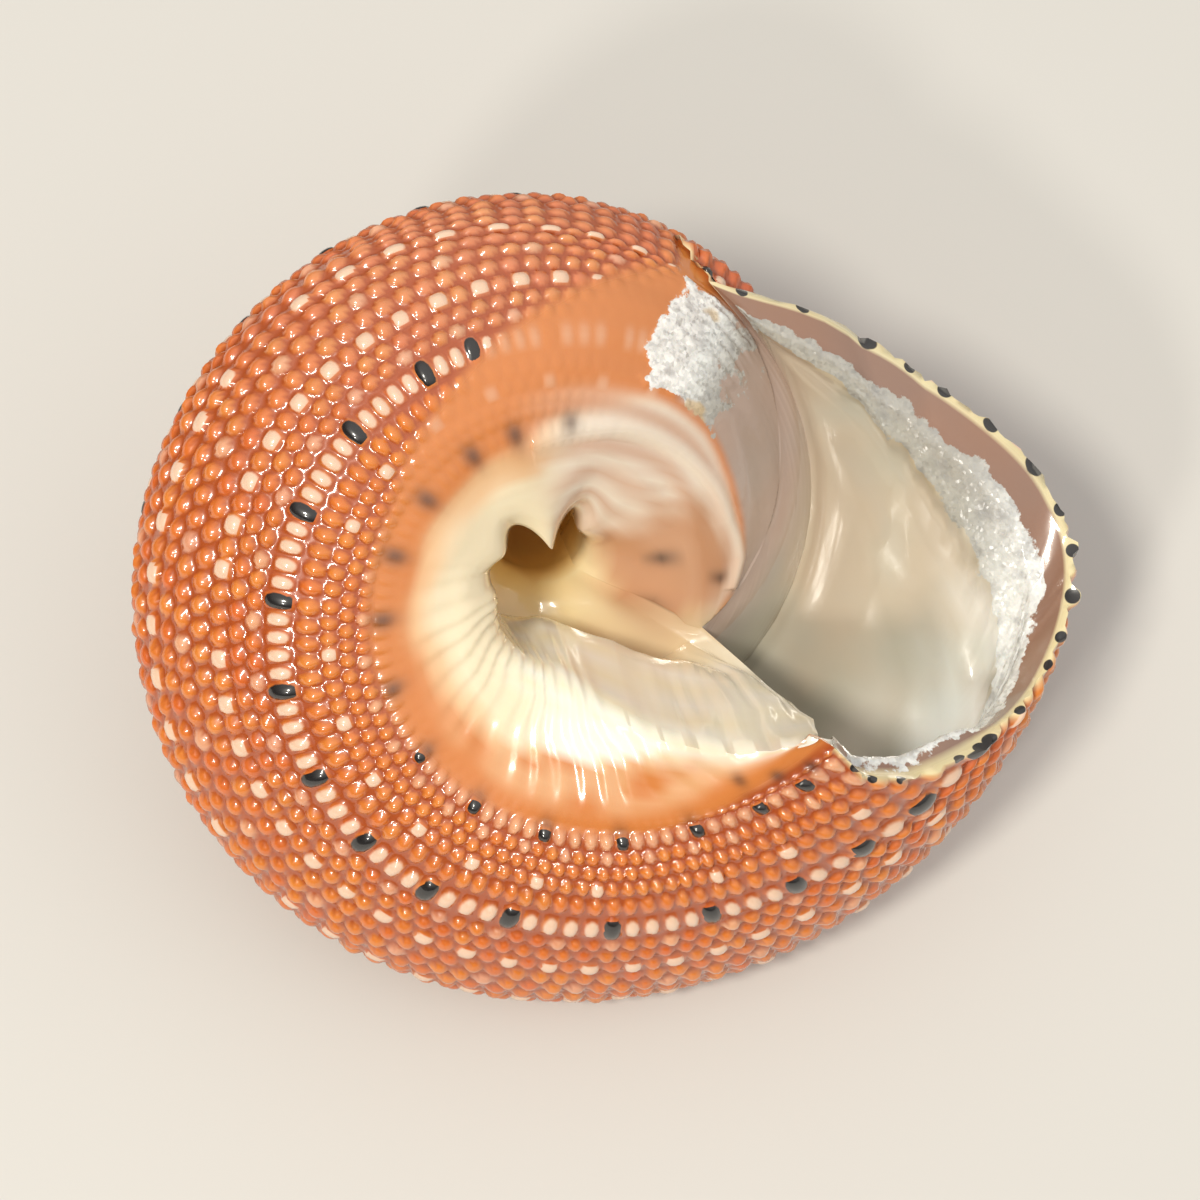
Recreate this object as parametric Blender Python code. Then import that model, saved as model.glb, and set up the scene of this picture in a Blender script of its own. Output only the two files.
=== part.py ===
# Strawberry top shell: a low, right-handed, beaded sea snail shell, grown as one piece.
# It lies on its side on a small worn flat, with its base (mouth and navel) facing up and forward.
# The surface is one closed sheet: the coiled outside, then over the lip and back down the hollow.
# Lengths are in millimetres and turns in degrees until the mesh is made in metres.

import math

import bpy
import numpy as np
from mathutils import Matrix, Vector

# Coiling: the tip is at the origin of the shell's own frame, and +Z there runs down to the base
WHORL_RATIO = 1.65
SPIRE_SHRINK = 0.04
SHRINK_FROM = 120.0
SHRINK_TO = -20.0
STEP = 4.5
STEPS_PER_TURN = 80
SPIRE_TURNS = 4
SEAM_LEAD = 67.5
SEAM_STEPS = 65

# Outline of the last whorl at the lip: (place along the outline, distance from axis, distance below tip)
OUTLINE = (
    (0.0, 7.115, 6.758),
    (0.5, 7.80, 7.25),
    (1.0, 8.45, 7.79),
    (2.0, 9.97, 9.08),
    (3.0, 11.43, 10.05),
    (4.0, 11.74, 11.15),
    (5.0, 11.09, 12.50),
    (6.0, 9.82, 13.73),
    (7.0, 8.36, 14.78),
    (8.0, 6.97, 15.37),
    (9.0, 5.53, 15.52),
    (10.0, 3.90, 15.33),
    (11.0, 2.75, 15.00),
    (12.0, 1.95, 14.45),
)

# The mouth is slanting: how far each place of the outline runs ahead of the edge, in degrees
LEAD = (
    (0.0, 67.5), (0.5, 61.0), (1.0, 36.0), (1.5, 26.0), (2.0, 19.5), (3.0, 8.0), (4.0, 0.0), (5.0, -11.0),
    (6.0, -19.0), (7.0, -25.0), (8.0, -27.5), (9.0, -23.0), (10.0, -24.0), (12.0, -28.0),
)

# Where the last whorl drops down the one before it, just behind the mouth
DROP_START = 285.0
DROPPED_SEAM = (6.72, 7.58)
DROPPED_SHOULDER = (8.30, 8.05)

# The pillar between the navel and the mouth
PILLAR_START = 285.0
PILLAR_RIM = 10.0
PILLAR_ROOT = 7.5
ROOT_BEFORE = 75.0
ROOT_AFTER = 90.0
SEAM_PLACE = 5.1
NAVEL_BOTTOM = 2.7
NAVEL_FADE = 60.0

# Rows of the mesh: cords are ridges with a groove between them
GROOVE_ROWS = (0.0, 1.0, 2.0, 3.0, 4.0, 4.9, 5.65, 6.5, 7.5, 8.5)
CORD_ROWS = (0.5, 1.5, 2.5, 3.5, 4.5, 5.3, 6.0, 7.0, 8.0, 9.0)
NAVEL_ROWS = (10.0, 11.0, 12.0, 13.0, 15.0)
EDGE_ROW = 4.0
ROOT_ROW = 10.0
RIM_ROW = 12.0
SEAM_ROW = 15.0

# Beads on the cords, and the smooth glaze that covers them round the navel
BEAD_HEIGHT = 0.34
BEAD_GAP_HEIGHT = 0.10
GLAZE_LIMIT = ((65.0, 5.0), (90.0, 6.3), (120.0, 7.6), (150.0, 8.5), (180.0, 8.8), (240.0, 9.2), (325.0, 9.3), (338.0, 8.3))

# Teeth of the navel's rim: how far the rim is pulled to the axis, as a share, round the turn
RIM_TEETH = (
    (10.0, 0.0), (40.0, 0.20), (58.0, 0.32), (70.0, 0.20), (86.0, 0.42), (99.0, 0.64), (110.0, 0.42),
    (121.0, 0.12), (135.0, 0.24), (144.0, 0.12), (157.0, 0.24), (166.0, 0.10), (180.0, 0.16), (205.0, 0.0),
)

# The hollow: wall thickness grows from a sharp edge, over a bevel, to the thick pearly ledge
HOLLOW_RINGS = (0.0, 3.0, 6.0, 14.0, 22.0, 36.0, 54.0, 76.0, 100.0, 126.0, 154.0, 180.0)
WALL_BEVEL = 0.42
WALL_LEDGE = 0.62
WALL_DEEP = 0.55
PILLAR_WALL = 0.75
PARIETAL_WALL = 0.12
EVEN_PASSES = 8
LIP_FIRST_ROW = 0.5
BACK_LAST_ROW = 4.5

# Pose: it lies on the flank, at the turn of the coil given here
REST_TURN = 283.0
REST_SLOPE = 47.9
CENTRE_SHIFT = (-1.207, 7.004)

SHELL_ORANGE = (0.78, 0.17, 0.045, 1.0)
SHELL_ROUGHNESS = 0.3


def smooth(value):
    value = min(max(value, 0.0), 1.0)
    return value * value * (3.0 - 2.0 * value)


def read_curve(points, place):
    """Straight-line reading of a list of (place, value)."""
    return float(np.interp(place, [p[0] for p in points], [p[1] for p in points]))


def growth(turn):
    """Size of the coil at a turn; the earlier whorls are a little smaller than the plain rule gives."""
    early = 1.0 - smooth((turn - SHRINK_TO) / (SHRINK_FROM - SHRINK_TO))
    return WHORL_RATIO ** (turn / 360.0 - 1.0) * (1.0 - SPIRE_SHRINK * early)


def outline_knots(stage):
    """The whorl's outline, with the seam dropped behind the mouth."""
    drop = smooth((stage - DROP_START) / (360.0 - DROP_START))
    knots = [list(knot) for knot in OUTLINE]
    for axis in (0, 1):
        knots[1][axis + 1] += drop * (DROPPED_SEAM[axis] - knots[1][axis + 1])
        knots[2][axis + 1] += drop * (DROPPED_SHOULDER[axis] - knots[2][axis + 1])
    return knots


def outline_point(place, stage):
    """Smooth curve through the knots; returns the point and its direction."""
    knots = outline_knots(stage)
    last = len(knots) - 2
    index = max(k for k in range(last + 1) if k == 0 or knots[k][0] <= place)
    start = knots[index]
    end = knots[index + 1]
    before = knots[max(index - 1, 0)]
    after = knots[min(index + 2, last + 1)]
    span = end[0] - start[0]
    t = (place - start[0]) / span
    point = []
    slope = []
    for axis in (1, 2):
        rise_start = (end[axis] - before[axis]) / (end[0] - before[0]) * span
        rise_end = (after[axis] - start[axis]) / (after[0] - start[0]) * span
        a = 2.0 * start[axis] - 2.0 * end[axis] + rise_start + rise_end
        b = -3.0 * start[axis] + 3.0 * end[axis] - 2.0 * rise_start - rise_end
        point.append(((a * t + b) * t + rise_start) * t + start[axis])
        slope.append((3.0 * a * t + 2.0 * b) * t + rise_start)
    size = math.hypot(slope[0], slope[1])
    return point, (slope[0] / size, slope[1] / size)


def coil(distance, depth, turn):
    """Place an outline point at a turn of the coil."""
    scale = growth(turn)
    angle = math.radians(turn)
    return Vector((scale * distance * math.cos(angle), scale * distance * math.sin(angle), scale * depth))


def surface(place, turn, stage, lift=0.0):
    """Point on the outside at a turn, raised by lift along the outward normal."""
    point, direction = outline_point(place, stage)
    distance = point[0] + direction[1] * lift
    depth = point[1] - direction[0] * lift
    return coil(distance, depth, turn)


def row_place(row, stage):
    """Where a mesh row lies on the outline; rows crowd together at the root of the pillar."""
    rim = RIM_ROW - (RIM_ROW - PILLAR_RIM) * smooth((stage - PILLAR_START) / (360.0 - PILLAR_START))
    place = row
    if row > 9.0:
        place = 9.0 + (row - 9.0) * (rim - 9.0) / (RIM_ROW - 9.0)
    if row <= EDGE_ROW:
        return place
    begun = stage - first_index(row) * STEP if row < ROOT_ROW else stage
    reach = ROOT_BEFORE if begun < 0.0 else ROOT_AFTER
    crowd = 1.0 - smooth(abs(begun) / reach)
    if row <= ROOT_ROW:
        squeezed = SEAM_PLACE + (row - EDGE_ROW) * (PILLAR_ROOT - SEAM_PLACE) / (ROOT_ROW - EDGE_ROW)
    else:
        squeezed = PILLAR_ROOT + (row - ROOT_ROW) * (RIM_ROW - PILLAR_ROOT) / (RIM_ROW - ROOT_ROW)
    return place + crowd * (squeezed - place)


def row_turn(place, stage):
    return stage + read_curve(LEAD, place)


def glaze(place, turn):
    """1 under the smooth glaze round the navel, 0 on the beads."""
    limit = read_curve(GLAZE_LIMIT, turn)
    if place < 4.2:
        return 0.0
    if turn < 66.0:
        return 1.0
    return smooth((place - limit) / 0.8 + 0.5)


def bead_lift(row, index, place, turn):
    if row not in CORD_ROWS:
        return 0.0
    height = BEAD_HEIGHT if index % 2 == 0 else BEAD_GAP_HEIGHT
    if row == LIP_FIRST_ROW:
        height *= 1.0 - smooth((index * STEP - DROP_START) / 40.0)
    return height * (1.0 - glaze(place, turn))


def outside_point(row, index, beads=1.0):
    """Point of the outside mesh; deep in the navel the folds fade into its bottom."""
    stage = index * STEP
    start = NAVEL_FIRST * STEP
    if row <= ROOT_ROW or row >= SEAM_ROW or stage > start + NAVEL_FADE:
        return row_point(row, index, beads)
    upper = row_point(ROOT_ROW, index, beads)
    lower = row_point(SEAM_ROW, index, beads)
    plain = upper.lerp(lower, (row - ROOT_ROW) / (SEAM_ROW - ROOT_ROW))
    return plain.lerp(row_point(row, index, beads), smooth((stage - start) / NAVEL_FADE))


def row_point(row, index, beads):
    """Point of the outside mesh at a row and a step of growth."""
    stage = index * STEP
    if row <= RIM_ROW:
        place = row_place(row, stage)
        turn = row_turn(place, stage)
        lift = bead_lift(row, index, place, turn) * beads
        point = surface(place, turn, stage, lift)
        if row > 9.0 and stage > 0.0:
            pull = 1.0 - read_curve(RIM_TEETH, turn) * ((row - 9.0) / 3.0) ** 2
            point = Vector((point.x * pull, point.y * pull, point.z))
        return point
    rim = row_point(RIM_ROW, index, beads)
    seam = navel_seam(index)
    waist = rim.lerp(seam, (row - RIM_ROW) / (SEAM_ROW - RIM_ROW))
    closing = smooth((stage - PILLAR_START) / (360.0 - PILLAR_START))
    pull = 1.0 - (1.0 - closing) * 0.10
    return Vector((waist.x * pull, waist.y * pull, waist.z))


def navel_seam(index):
    """Where the navel's wall stands on the whorl before it."""
    return row_point(ROOT_ROW, index - STEPS_PER_TURN, 0.0)


class Sheet:
    """Collects the closed surface."""

    def __init__(self):
        self.points = []
        self.faces = []
        self.named = {}

    def add(self, point):
        self.points.append(point)
        return len(self.points) - 1

    def at(self, row, index):
        """Vertex of the outside; the seams share the rows that they lie on."""
        if row == 0.0 and index - SEAM_STEPS >= FIRST_INDEX:
            row = EDGE_ROW
            index -= SEAM_STEPS
        if row == SEAM_ROW and index >= 0:
            row = ROOT_ROW
            index -= STEPS_PER_TURN
        key = (row, index)
        if key not in self.named:
            self.named[key] = self.add(outside_point(row, index))
        return self.named[key]

    def quad(self, a, b, c, d):
        corners = []
        for corner in (a, b, c, d):
            if corner not in corners:
                corners.append(corner)
        if len(corners) == 4:
            self.faces.append((a, b, c))
            self.faces.append((a, c, d))
        elif len(corners) == 3:
            self.faces.append(tuple(corners))

    def triangle(self, a, b, c):
        if len({a, b, c}) == 3:
            self.faces.append((a, b, c))


LAST_INDEX = STEPS_PER_TURN
FIRST_INDEX = -SPIRE_TURNS * STEPS_PER_TURN
NAVEL_FIRST = -STEPS_PER_TURN
EDGE_FIRST = LAST_INDEX - SEAM_STEPS


def outside_rows():
    rows = sorted(GROOVE_ROWS + CORD_ROWS + NAVEL_ROWS)
    return rows


def first_index(row):
    """The first step of growth at which a row is on the outside."""
    if row < EDGE_ROW:
        return FIRST_INDEX
    if row >= ROOT_ROW:
        return NAVEL_FIRST
    share = (ROOT_ROW - row) / (ROOT_ROW - EDGE_ROW)
    return int(round(EDGE_FIRST * share))


def strip_start(row):
    return 0 if row == ROOT_ROW else first_index(row)


def add_strip(sheet, upper, lower, upper_first, lower_first):
    """Join two neighbouring rows; where one starts earlier, a fan fills the corner."""
    common = max(upper_first, lower_first)
    for index in range(common, LAST_INDEX):
        sheet.quad(sheet.at(upper, index), sheet.at(upper, index + 1),
                   sheet.at(lower, index + 1), sheet.at(lower, index))
    for index in range(lower_first, common):
        sheet.triangle(sheet.at(upper, common), sheet.at(lower, index + 1), sheet.at(lower, index))
    for index in range(upper_first, common):
        sheet.triangle(sheet.at(upper, index), sheet.at(upper, index + 1), sheet.at(lower, common))


def add_outside(sheet):
    rows = outside_rows()
    for upper, lower in zip(rows[:-1], rows[1:]):
        if lower <= EDGE_ROW:
            add_strip(sheet, upper, lower, FIRST_INDEX, FIRST_INDEX)
        elif lower <= ROOT_ROW:
            add_strip(sheet, upper, lower, first_index(upper), strip_start(lower))
        else:
            add_strip(sheet, upper, lower, NAVEL_FIRST, NAVEL_FIRST)


def add_tip(sheet):
    """Close the first whorl with a low dome."""
    rows = [row for row in outside_rows() if row <= EDGE_ROW]
    inner = [sheet.at(0.0, index) for index in range(FIRST_INDEX, FIRST_INDEX + SEAM_STEPS)]
    first = [sheet.at(row, FIRST_INDEX) for row in rows]
    centre = sheet.add(Vector((0.0, 0.0, 0.35 * growth(FIRST_INDEX * STEP) * OUTLINE[0][2])))
    edge = inner + [sheet.at(0.0, FIRST_INDEX + SEAM_STEPS)] + list(reversed(first[1:-1]))
    for a, b in zip(edge, edge[1:] + edge[:1]):
        sheet.triangle(centre, b, a)


def add_navel_bottom(sheet):
    """Close the navel deep inside."""
    rows = [row for row in outside_rows() if row >= ROOT_ROW]
    ring = [sheet.at(SEAM_ROW, index) for index in range(NAVEL_FIRST, 0)]
    start = [sheet.at(row, NAVEL_FIRST) for row in rows]
    edge = ring + start[:-1]
    centre = sheet.add(Vector((0.0, 0.0, NAVEL_BOTTOM)))
    for a, b in zip(edge, edge[1:] + edge[:1]):
        sheet.triangle(centre, a, b)


def mouth_loop(sheet):
    """The mouth's edge: along the lip, down the pillar, and back over the whorl before it."""
    rows = outside_rows()
    lip = [sheet.at(row, LAST_INDEX) for row in rows if row >= LIP_FIRST_ROW]
    back = []
    for row in reversed(rows):
        if BACK_LAST_ROW <= row < ROOT_ROW:
            back.append(sheet.at(row, first_index(row)))
    return lip, back


def add_seam_corner(sheet):
    """The bit of the earlier whorl that shows between its edge and the dropped seam."""
    corner = sheet.at(LIP_FIRST_ROW, LAST_INDEX)
    rows = [row for row in outside_rows() if EDGE_ROW <= row <= BACK_LAST_ROW]
    starts = [sheet.at(row, first_index(row)) for row in rows]
    for upper, lower in zip(starts[:-1], starts[1:]):
        sheet.triangle(corner, upper, lower)


def inward(points):
    """Unit directions into the hollow for a closed loop of points, evened out along it."""
    count = len(points)
    result = []
    for k in range(count):
        along = points[(k + 1) % count] - points[k - 1]
        forward = Vector((-points[k].y, points[k].x, 0.0)).normalized()
        result.append(along.cross(forward).normalized())
    for _ in range(EVEN_PASSES):
        result = [(result[k - 1] + result[k] * 2.0 + result[(k + 1) % count]).normalized() for k in range(count)]
    return result


def shrink_back(point, degrees):
    """Slide a point back down the coil."""
    turned = Matrix.Rotation(math.radians(-degrees), 3, "Z") @ point
    return turned * WHORL_RATIO ** (-degrees / 360.0)


def wall_at(ring):
    if ring <= 6.0:
        return WALL_BEVEL * ring / 6.0
    if ring <= 22.0:
        return WALL_LEDGE
    return WALL_DEEP


def wall_thickness(rows, k, ring):
    """Wall between the outside and the hollow: k counts along the lip, the pillar, then the earlier whorl."""
    depth = smooth(ring / 22.0)
    if k >= len(rows):
        return PARIETAL_WALL * depth
    if k == 0 or k == len(rows) - 1:
        return 0.5 * wall_at(ring)
    if rows[k] < 9.0:
        return wall_at(ring)
    return PILLAR_WALL * depth


def add_hollow(sheet):
    lip, back = mouth_loop(sheet)
    loop = lip + back
    rows = [row for row in outside_rows() if row >= LIP_FIRST_ROW]
    base = [outside_point(row, LAST_INDEX, 0.0) for row in rows]
    base += [sheet.points[k] for k in back]
    directions = inward(base)
    previous = loop
    for ring in HOLLOW_RINGS[1:]:
        current = []
        for k, point in enumerate(base):
            thickness = wall_thickness(rows, k, ring)
            current.append(sheet.add(shrink_back(point + directions[k] * thickness, ring)))
        for k in range(len(loop)):
            following = (k + 1) % len(loop)
            sheet.quad(previous[k], current[k], current[following], previous[following])
        previous = current
    middle = Vector((0.0, 0.0, 0.0))
    for k in previous:
        middle += sheet.points[k]
    middle /= len(previous)
    narrowed = []
    for k in previous:
        narrowed.append(sheet.add(shrink_back(sheet.points[k].lerp(middle, 0.5), 6.0)))
    for k in range(len(previous)):
        following = (k + 1) % len(previous)
        sheet.quad(previous[k], narrowed[k], narrowed[following], previous[following])
    end = sheet.add(shrink_back(middle, 8.0))
    for k in range(len(narrowed)):
        sheet.triangle(narrowed[k], end, narrowed[(k + 1) % len(narrowed)])


def resting_pose():
    """Turn the coil onto its flank, base up and forward."""
    slope = math.radians(REST_SLOPE)
    turn = math.radians(REST_TURN)
    axis = Vector((0.0, -math.cos(slope), math.sin(slope)))
    down = Vector((0.0, -math.sin(slope), -math.cos(slope)))
    side = Vector((1.0, 0.0, 0.0))
    local_x = down * math.cos(turn) - side * math.sin(turn)
    local_y = down * math.sin(turn) + side * math.cos(turn)
    return Matrix((local_x, local_y, axis)).transposed()


def clear_scene():
    for old in list(bpy.data.objects):
        bpy.data.objects.remove(old, do_unlink=True)


def shell_material():
    material = bpy.data.materials.new("shell_orange")
    material.use_nodes = True
    shader = material.node_tree.nodes["Principled BSDF"]
    shader.inputs["Base Color"].default_value = SHELL_ORANGE
    shader.inputs["Roughness"].default_value = SHELL_ROUGHNESS
    shader.inputs["Metallic"].default_value = 0.0
    return material


def make_shell():
    sheet = Sheet()
    add_outside(sheet)
    add_tip(sheet)
    add_navel_bottom(sheet)
    add_seam_corner(sheet)
    add_hollow(sheet)
    pose = resting_pose()
    shift = Vector((CENTRE_SHIFT[0], CENTRE_SHIFT[1], 0.0))
    points = [(pose @ point + shift) * 0.001 for point in sheet.points]
    mesh = bpy.data.meshes.new("shell")
    mesh.from_pydata(points, [], sheet.faces)
    mesh.validate()
    mesh.materials.append(shell_material())
    mesh.shade_smooth()
    mesh.set_sharp_from_angle(angle=math.radians(50.0))
    shell = bpy.data.objects.new("shell", mesh)
    bpy.context.scene.collection.objects.link(shell)
    return shell


def wear_flat(shell):
    """Cut the small flat that the shell lies on."""
    bpy.ops.mesh.primitive_cube_add(size=0.06, location=(0.0, 0.0, -0.03))
    ground = bpy.context.active_object
    ground.name = "ground_cutter"
    ground.display_type = "WIRE"
    ground.hide_render = True
    cut = shell.modifiers.new("worn_flat", "BOOLEAN")
    cut.operation = "DIFFERENCE"
    cut.object = ground
    cut.solver = "EXACT"


clear_scene()
wear_flat(make_shell())
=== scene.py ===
# Looks of the strawberry top shell: beads, glaze, navel, pillar and mother-of-pearl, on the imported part.
# Lengths are in millimetres and turns in degrees until the meshes are made in metres.

import math
import random

import bmesh
import bpy
import numpy as np
from mathutils import Matrix, Vector


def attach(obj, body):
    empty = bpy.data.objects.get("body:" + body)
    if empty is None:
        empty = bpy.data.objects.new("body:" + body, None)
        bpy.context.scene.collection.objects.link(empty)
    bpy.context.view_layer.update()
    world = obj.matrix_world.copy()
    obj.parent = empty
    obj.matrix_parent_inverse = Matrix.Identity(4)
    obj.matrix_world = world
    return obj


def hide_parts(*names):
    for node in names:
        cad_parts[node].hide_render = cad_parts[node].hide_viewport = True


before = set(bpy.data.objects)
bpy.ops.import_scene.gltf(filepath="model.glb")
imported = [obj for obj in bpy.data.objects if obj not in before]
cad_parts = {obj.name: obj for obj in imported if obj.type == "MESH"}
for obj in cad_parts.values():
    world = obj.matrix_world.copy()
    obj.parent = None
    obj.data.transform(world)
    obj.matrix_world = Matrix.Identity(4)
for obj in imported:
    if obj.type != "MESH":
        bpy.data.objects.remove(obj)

# Coiling, the same as in the part
WHORL_RATIO = 1.65
SPIRE_SHRINK = 0.04
SHRINK_FROM = 120.0
SHRINK_TO = -20.0
STEPS_PER_TURN = 560
STEP = 360.0 / STEPS_PER_TURN
SPIRE_TURNS = 4
SEAM_STEPS = 455
SPIRE_SPLIT = 2 * STEPS_PER_TURN
LAST_INDEX = STEPS_PER_TURN
FIRST_INDEX = -SPIRE_TURNS * STEPS_PER_TURN
EDGE_FIRST = LAST_INDEX - SEAM_STEPS

# Middles of the faces that close the pieces: mm, and shares of the size there
CAP_DEPTH = 2.2
TIP_DEPTH = 0.35
BASE_DEPTH = 1.7

# Outline of the last whorl at the lip: (place along it, distance from the axis, distance below the tip);
# its second and third knots sink as the seam drops behind the mouth
OUTLINE = np.array((
    (0, 7.115, 6.758), (0.5, 7.80, 7.25), (1, 8.45, 7.79), (2, 9.97, 9.08), (3, 11.43, 10.05),
    (4, 11.74, 11.15), (5, 11.09, 12.50), (6, 9.82, 13.73), (7, 8.36, 14.78), (8, 6.97, 15.37),
    (9, 5.53, 15.52), (10, 3.90, 15.33), (11, 2.75, 15.00), (12, 1.95, 14.45),
))
DROP_START = 285.0
DROPPED_SEAM = (6.72, 7.58)
DROPPED_SHOULDER = (8.30, 8.05)

# How far each place of the outline runs ahead of the edge, in degrees
LEAD = (
    (0, 67.5), (0.5, 58.5), (1, 34), (1.5, 25), (2, 19.5), (3, 8), (4, 0), (5, -11), (6, -19), (7, -25),
    (8, -27.5), (9, -23), (10, -24), (12, -28),
)

# From row 0 to this knot the lead is even, and turns to the slanted one between these stages
LEAD_EVEN_KNOT = 4
LIP_LEAD_START = 290.0
LIP_LEAD_END = 340.0

# The pillar between the navel and the mouth
PILLAR_START = 285.0
PILLAR_RIM = 9.4
PILLAR_ROOT = 7.5
ROOT_BEFORE = 75.0
ROOT_AFTER = 90.0
SEAM_PLACE = 5.1
NAVEL_FIRST_ROW = 9.0
NAVEL_BOTTOM = 2.7
NAVEL_FADE = 60.0
NAVEL_WAIST = 0.10
NAVEL_GOLD_END = 1.9
RIM_TEETH = (
    (10, 0), (42, 0.10), (70, -0.26), (99, 0.46), (130, -0.30), (148, -0.10), (165, -0.26), (184, -0.08),
    (205, -0.16), (245, 0),
)

# The pillar's upper edge is a fold over the navel: (stage, shift to the right, shift up) in mm
FOLD_RIGHT = (0.974, 0.042, 0.224)
FOLD_UP = (0.042, 0.933, -0.358)
FOLD_EDGE = (
    (262, 0, 0), (285, 0, 0.45), (300, 0, 0.72), (320, 0.20, 0.95), (340, 0.62, 0.66), (350, 0.80, 0.18),
    (356, 1.02, -0.40), (360, 1.14, -0.85),
)
FOLD_FACE = (
    (262, 0, 0), (285, 0, 0.20), (300, 0, 0.32), (320, 0.08, 0.42), (340, 0.30, 0.30), (350, 0.72, 0.14),
    (356, 0.98, -0.22), (360, 1.08, -0.55),
)
# Each row's shares of the two shifts: (row, of the edge, of the face)
FOLD_SHARES = ((10.6, 0, 0), (11.4, 0, 0.16), (12, 0, 0.44), (13, 0.16, 0.84), (14.1, 1, 0), (15, 0, 0))

# Grooves between the cords, as rows of the outline, and cuts across each cord
FLANK_GROOVES = (0, 0.22, 0.44, 0.72, 1, 1.26, 1.52, 1.78, 2.04, 2.32, 2.6, 2.9, 3.2, 3.48, 3.75, 4)
BASE_GROOVES = (
    4, 4.41, 4.78, 5.13, 5.47, 5.82, 6.17, 6.46, 6.74, 7.34, 7.81, 8.17, 8.49, 8.80, 9.2, 9.42,
)
FLANK_CUTS = (-1, -0.6, 0, 0.6)
BASE_CUTS = (-1, -0.64, -0.22, 0.22, 0.64)
EDGE_CUTS = (-1, -0.83, -0.67, -0.5, -0.33, -0.17, 0, 0.17, 0.33, 0.5, 0.67, 0.83)
EDGE_CORD = 15
EDGE_CORD_PARTS = 3
BROAD_CUTS = (-1, -0.76, -0.42, 0, 0.42, 0.76)
NAVEL_ROWS = (
    9.6, 9.8, 10, 10.25, 10.5, 10.8, 11.1, 11.4, 11.7, 12, 12.3, 12.6, 13, 13.4, 13.7, 14, 14.25, 14.5,
    15,
)
DEEP_ROWS = (10, 11.1, 12, 13, 15)
EDGE_ROW = 4.0
ROOT_ROW = 10.0
RIM_ROW = 12.0
SEAM_ROW = 15.0
LIP_FIRST_ROW = 0.44
BACK_LAST_ROW = 4.41

# Places of the rows where they crowd together at the root of the lip and the pillar
CROWDED = ((EDGE_ROW, EDGE_ROW), (BACK_LAST_ROW, SEAM_PLACE), (ROOT_ROW, PILLAR_ROOT), (RIM_ROW, RIM_ROW))

# Near the lip the cords of the base swing outward: shift of row 7, and each row's share of it
SWING = ((270, 0), (283, 0.16), (319, 0.14), (335, -0.12), (344, -0.34), (352, -0.68), (360, -1.05))
SWING_SHARE = ((4, 0), (5, 0.28), (6, 0.62), (7, 1), (8, 0.85), (9, 0.42), (10, 0))

# Beads: height in mm, steps per bead, widths as shares of the cord, powers that round or square them,
# and how uneven they are
BEAD_HEIGHT = 0.20
BEAD_STEPS = 6
LIP_CROWDING = 0.16
ROUND_WIDTH = 0.84
PALE_WIDTH = 0.92
ROUND_POWER = 2.0
PALE_POWER = 2.8
BROAD_PALE = (0.78, 0.74)
BROAD_POWERS = (2.2, 2.6)
CORD_RIDGE = 0.10
DOME_POWER = 0.6
DOME_EVEN = 0.82
DOME_UNEVEN = 0.3
BEAD_DRIFT = 0.32
DRIFT_KEPT = 0.93
PALE_MISSING = 0.10
BEADS_PAST_LIP = 15.0
GLAZE_CORD = 0.35

# Kinds of beads; row one is the broad spotted cord, row two the spotted one by the glaze
ORANGE = 0
PALE = 1
BLACK = 2
FAINT = 3
ROW_ONE = 23
ROW_TWO = 28
ROW_ONE_BLACK = (
    102.5, 119, 136.4, 147.6, 166.2, 184.8, 202.7, 220.2, 237.9, 253.1, 267.8, 283.8, 302.2, 319.5, 333.4,
    343.6, 351.8, 359.9,
)
ROW_TWO_BLACK = (131.7, 146.8, 166, 185.1, 203.6, 223.4, 243.4, 263, 282.9, 302.9, 321.6, 337.6, 349)
ROW_ONE_PERIOD = 17.5
ROW_TWO_PERIOD = 19.5
ROW_ONE_PITCH = 3.7
ROW_TWO_PITCH = 3.9

# Round the turn: the pale ridge beside the mouth and the limit of the mother-of-pearl behind it;
# by place: the left edge of its broken patch
RIDGE = ((-12, 7.25), (-2, 7.3), (12, 7.85), (31, 8.2), (54, 8.62), (77, 9), (104, 9.3))
PEARL_LIMIT = ((-12, 7.15), (0, 7.2), (17, 7.5), (30, 7.55), (43, 7.5), (55, 7.6), (72, 7.75))
PATCH_EDGE = ((4.4, 62.5), (5.5, 64), (6.2, 67), (7, 70.5), (7.3, 66.5), (7.6, 70), (7.8, 66))

# Black spots on the rim of the lip: (row, radius in mm)
RIM_SPOTS = (
    (0.60, 0.16), (0.80, 0.18), (1.05, 0.27), (1.38, 0.16), (1.72, 0.20), (2.22, 0.22), (2.72, 0.28),
    (3.2, 0.18), (3.7, 0.18), (4.25, 0.20), (4.78, 0.16), (5.18, 0.15), (6.05, 0.15), (6.85, 0.22),
    (7.05, 0.18), (7.32, 0.16), (8.12, 0.14), (8.5, 0.14), (8.78, 0.13),
)

# The smooth glaze round the navel: from which place on it covers the beads, round the turn
GLAZE_LIMIT = (
    (65, 5), (90, 6.3), (120, 7.6), (150, 8.5), (180, 8.75), (225, 9.05), (250, 9.15), (315, 9.18),
    (325, 9.1), (338, 8.9),
)

# Heights of the glaze's waves and creases, the ridge, the patch and its roughness, and the pillar's knobs
GLAZE_WAVE = 0.05
CREASE = 0.028
RIDGE_HEIGHT = 0.14
PATCH_HEIGHT = 0.08
PATCH_ROUGH = (0.04, 0.03)
KNOBS = (0.07, 0.04)

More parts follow.
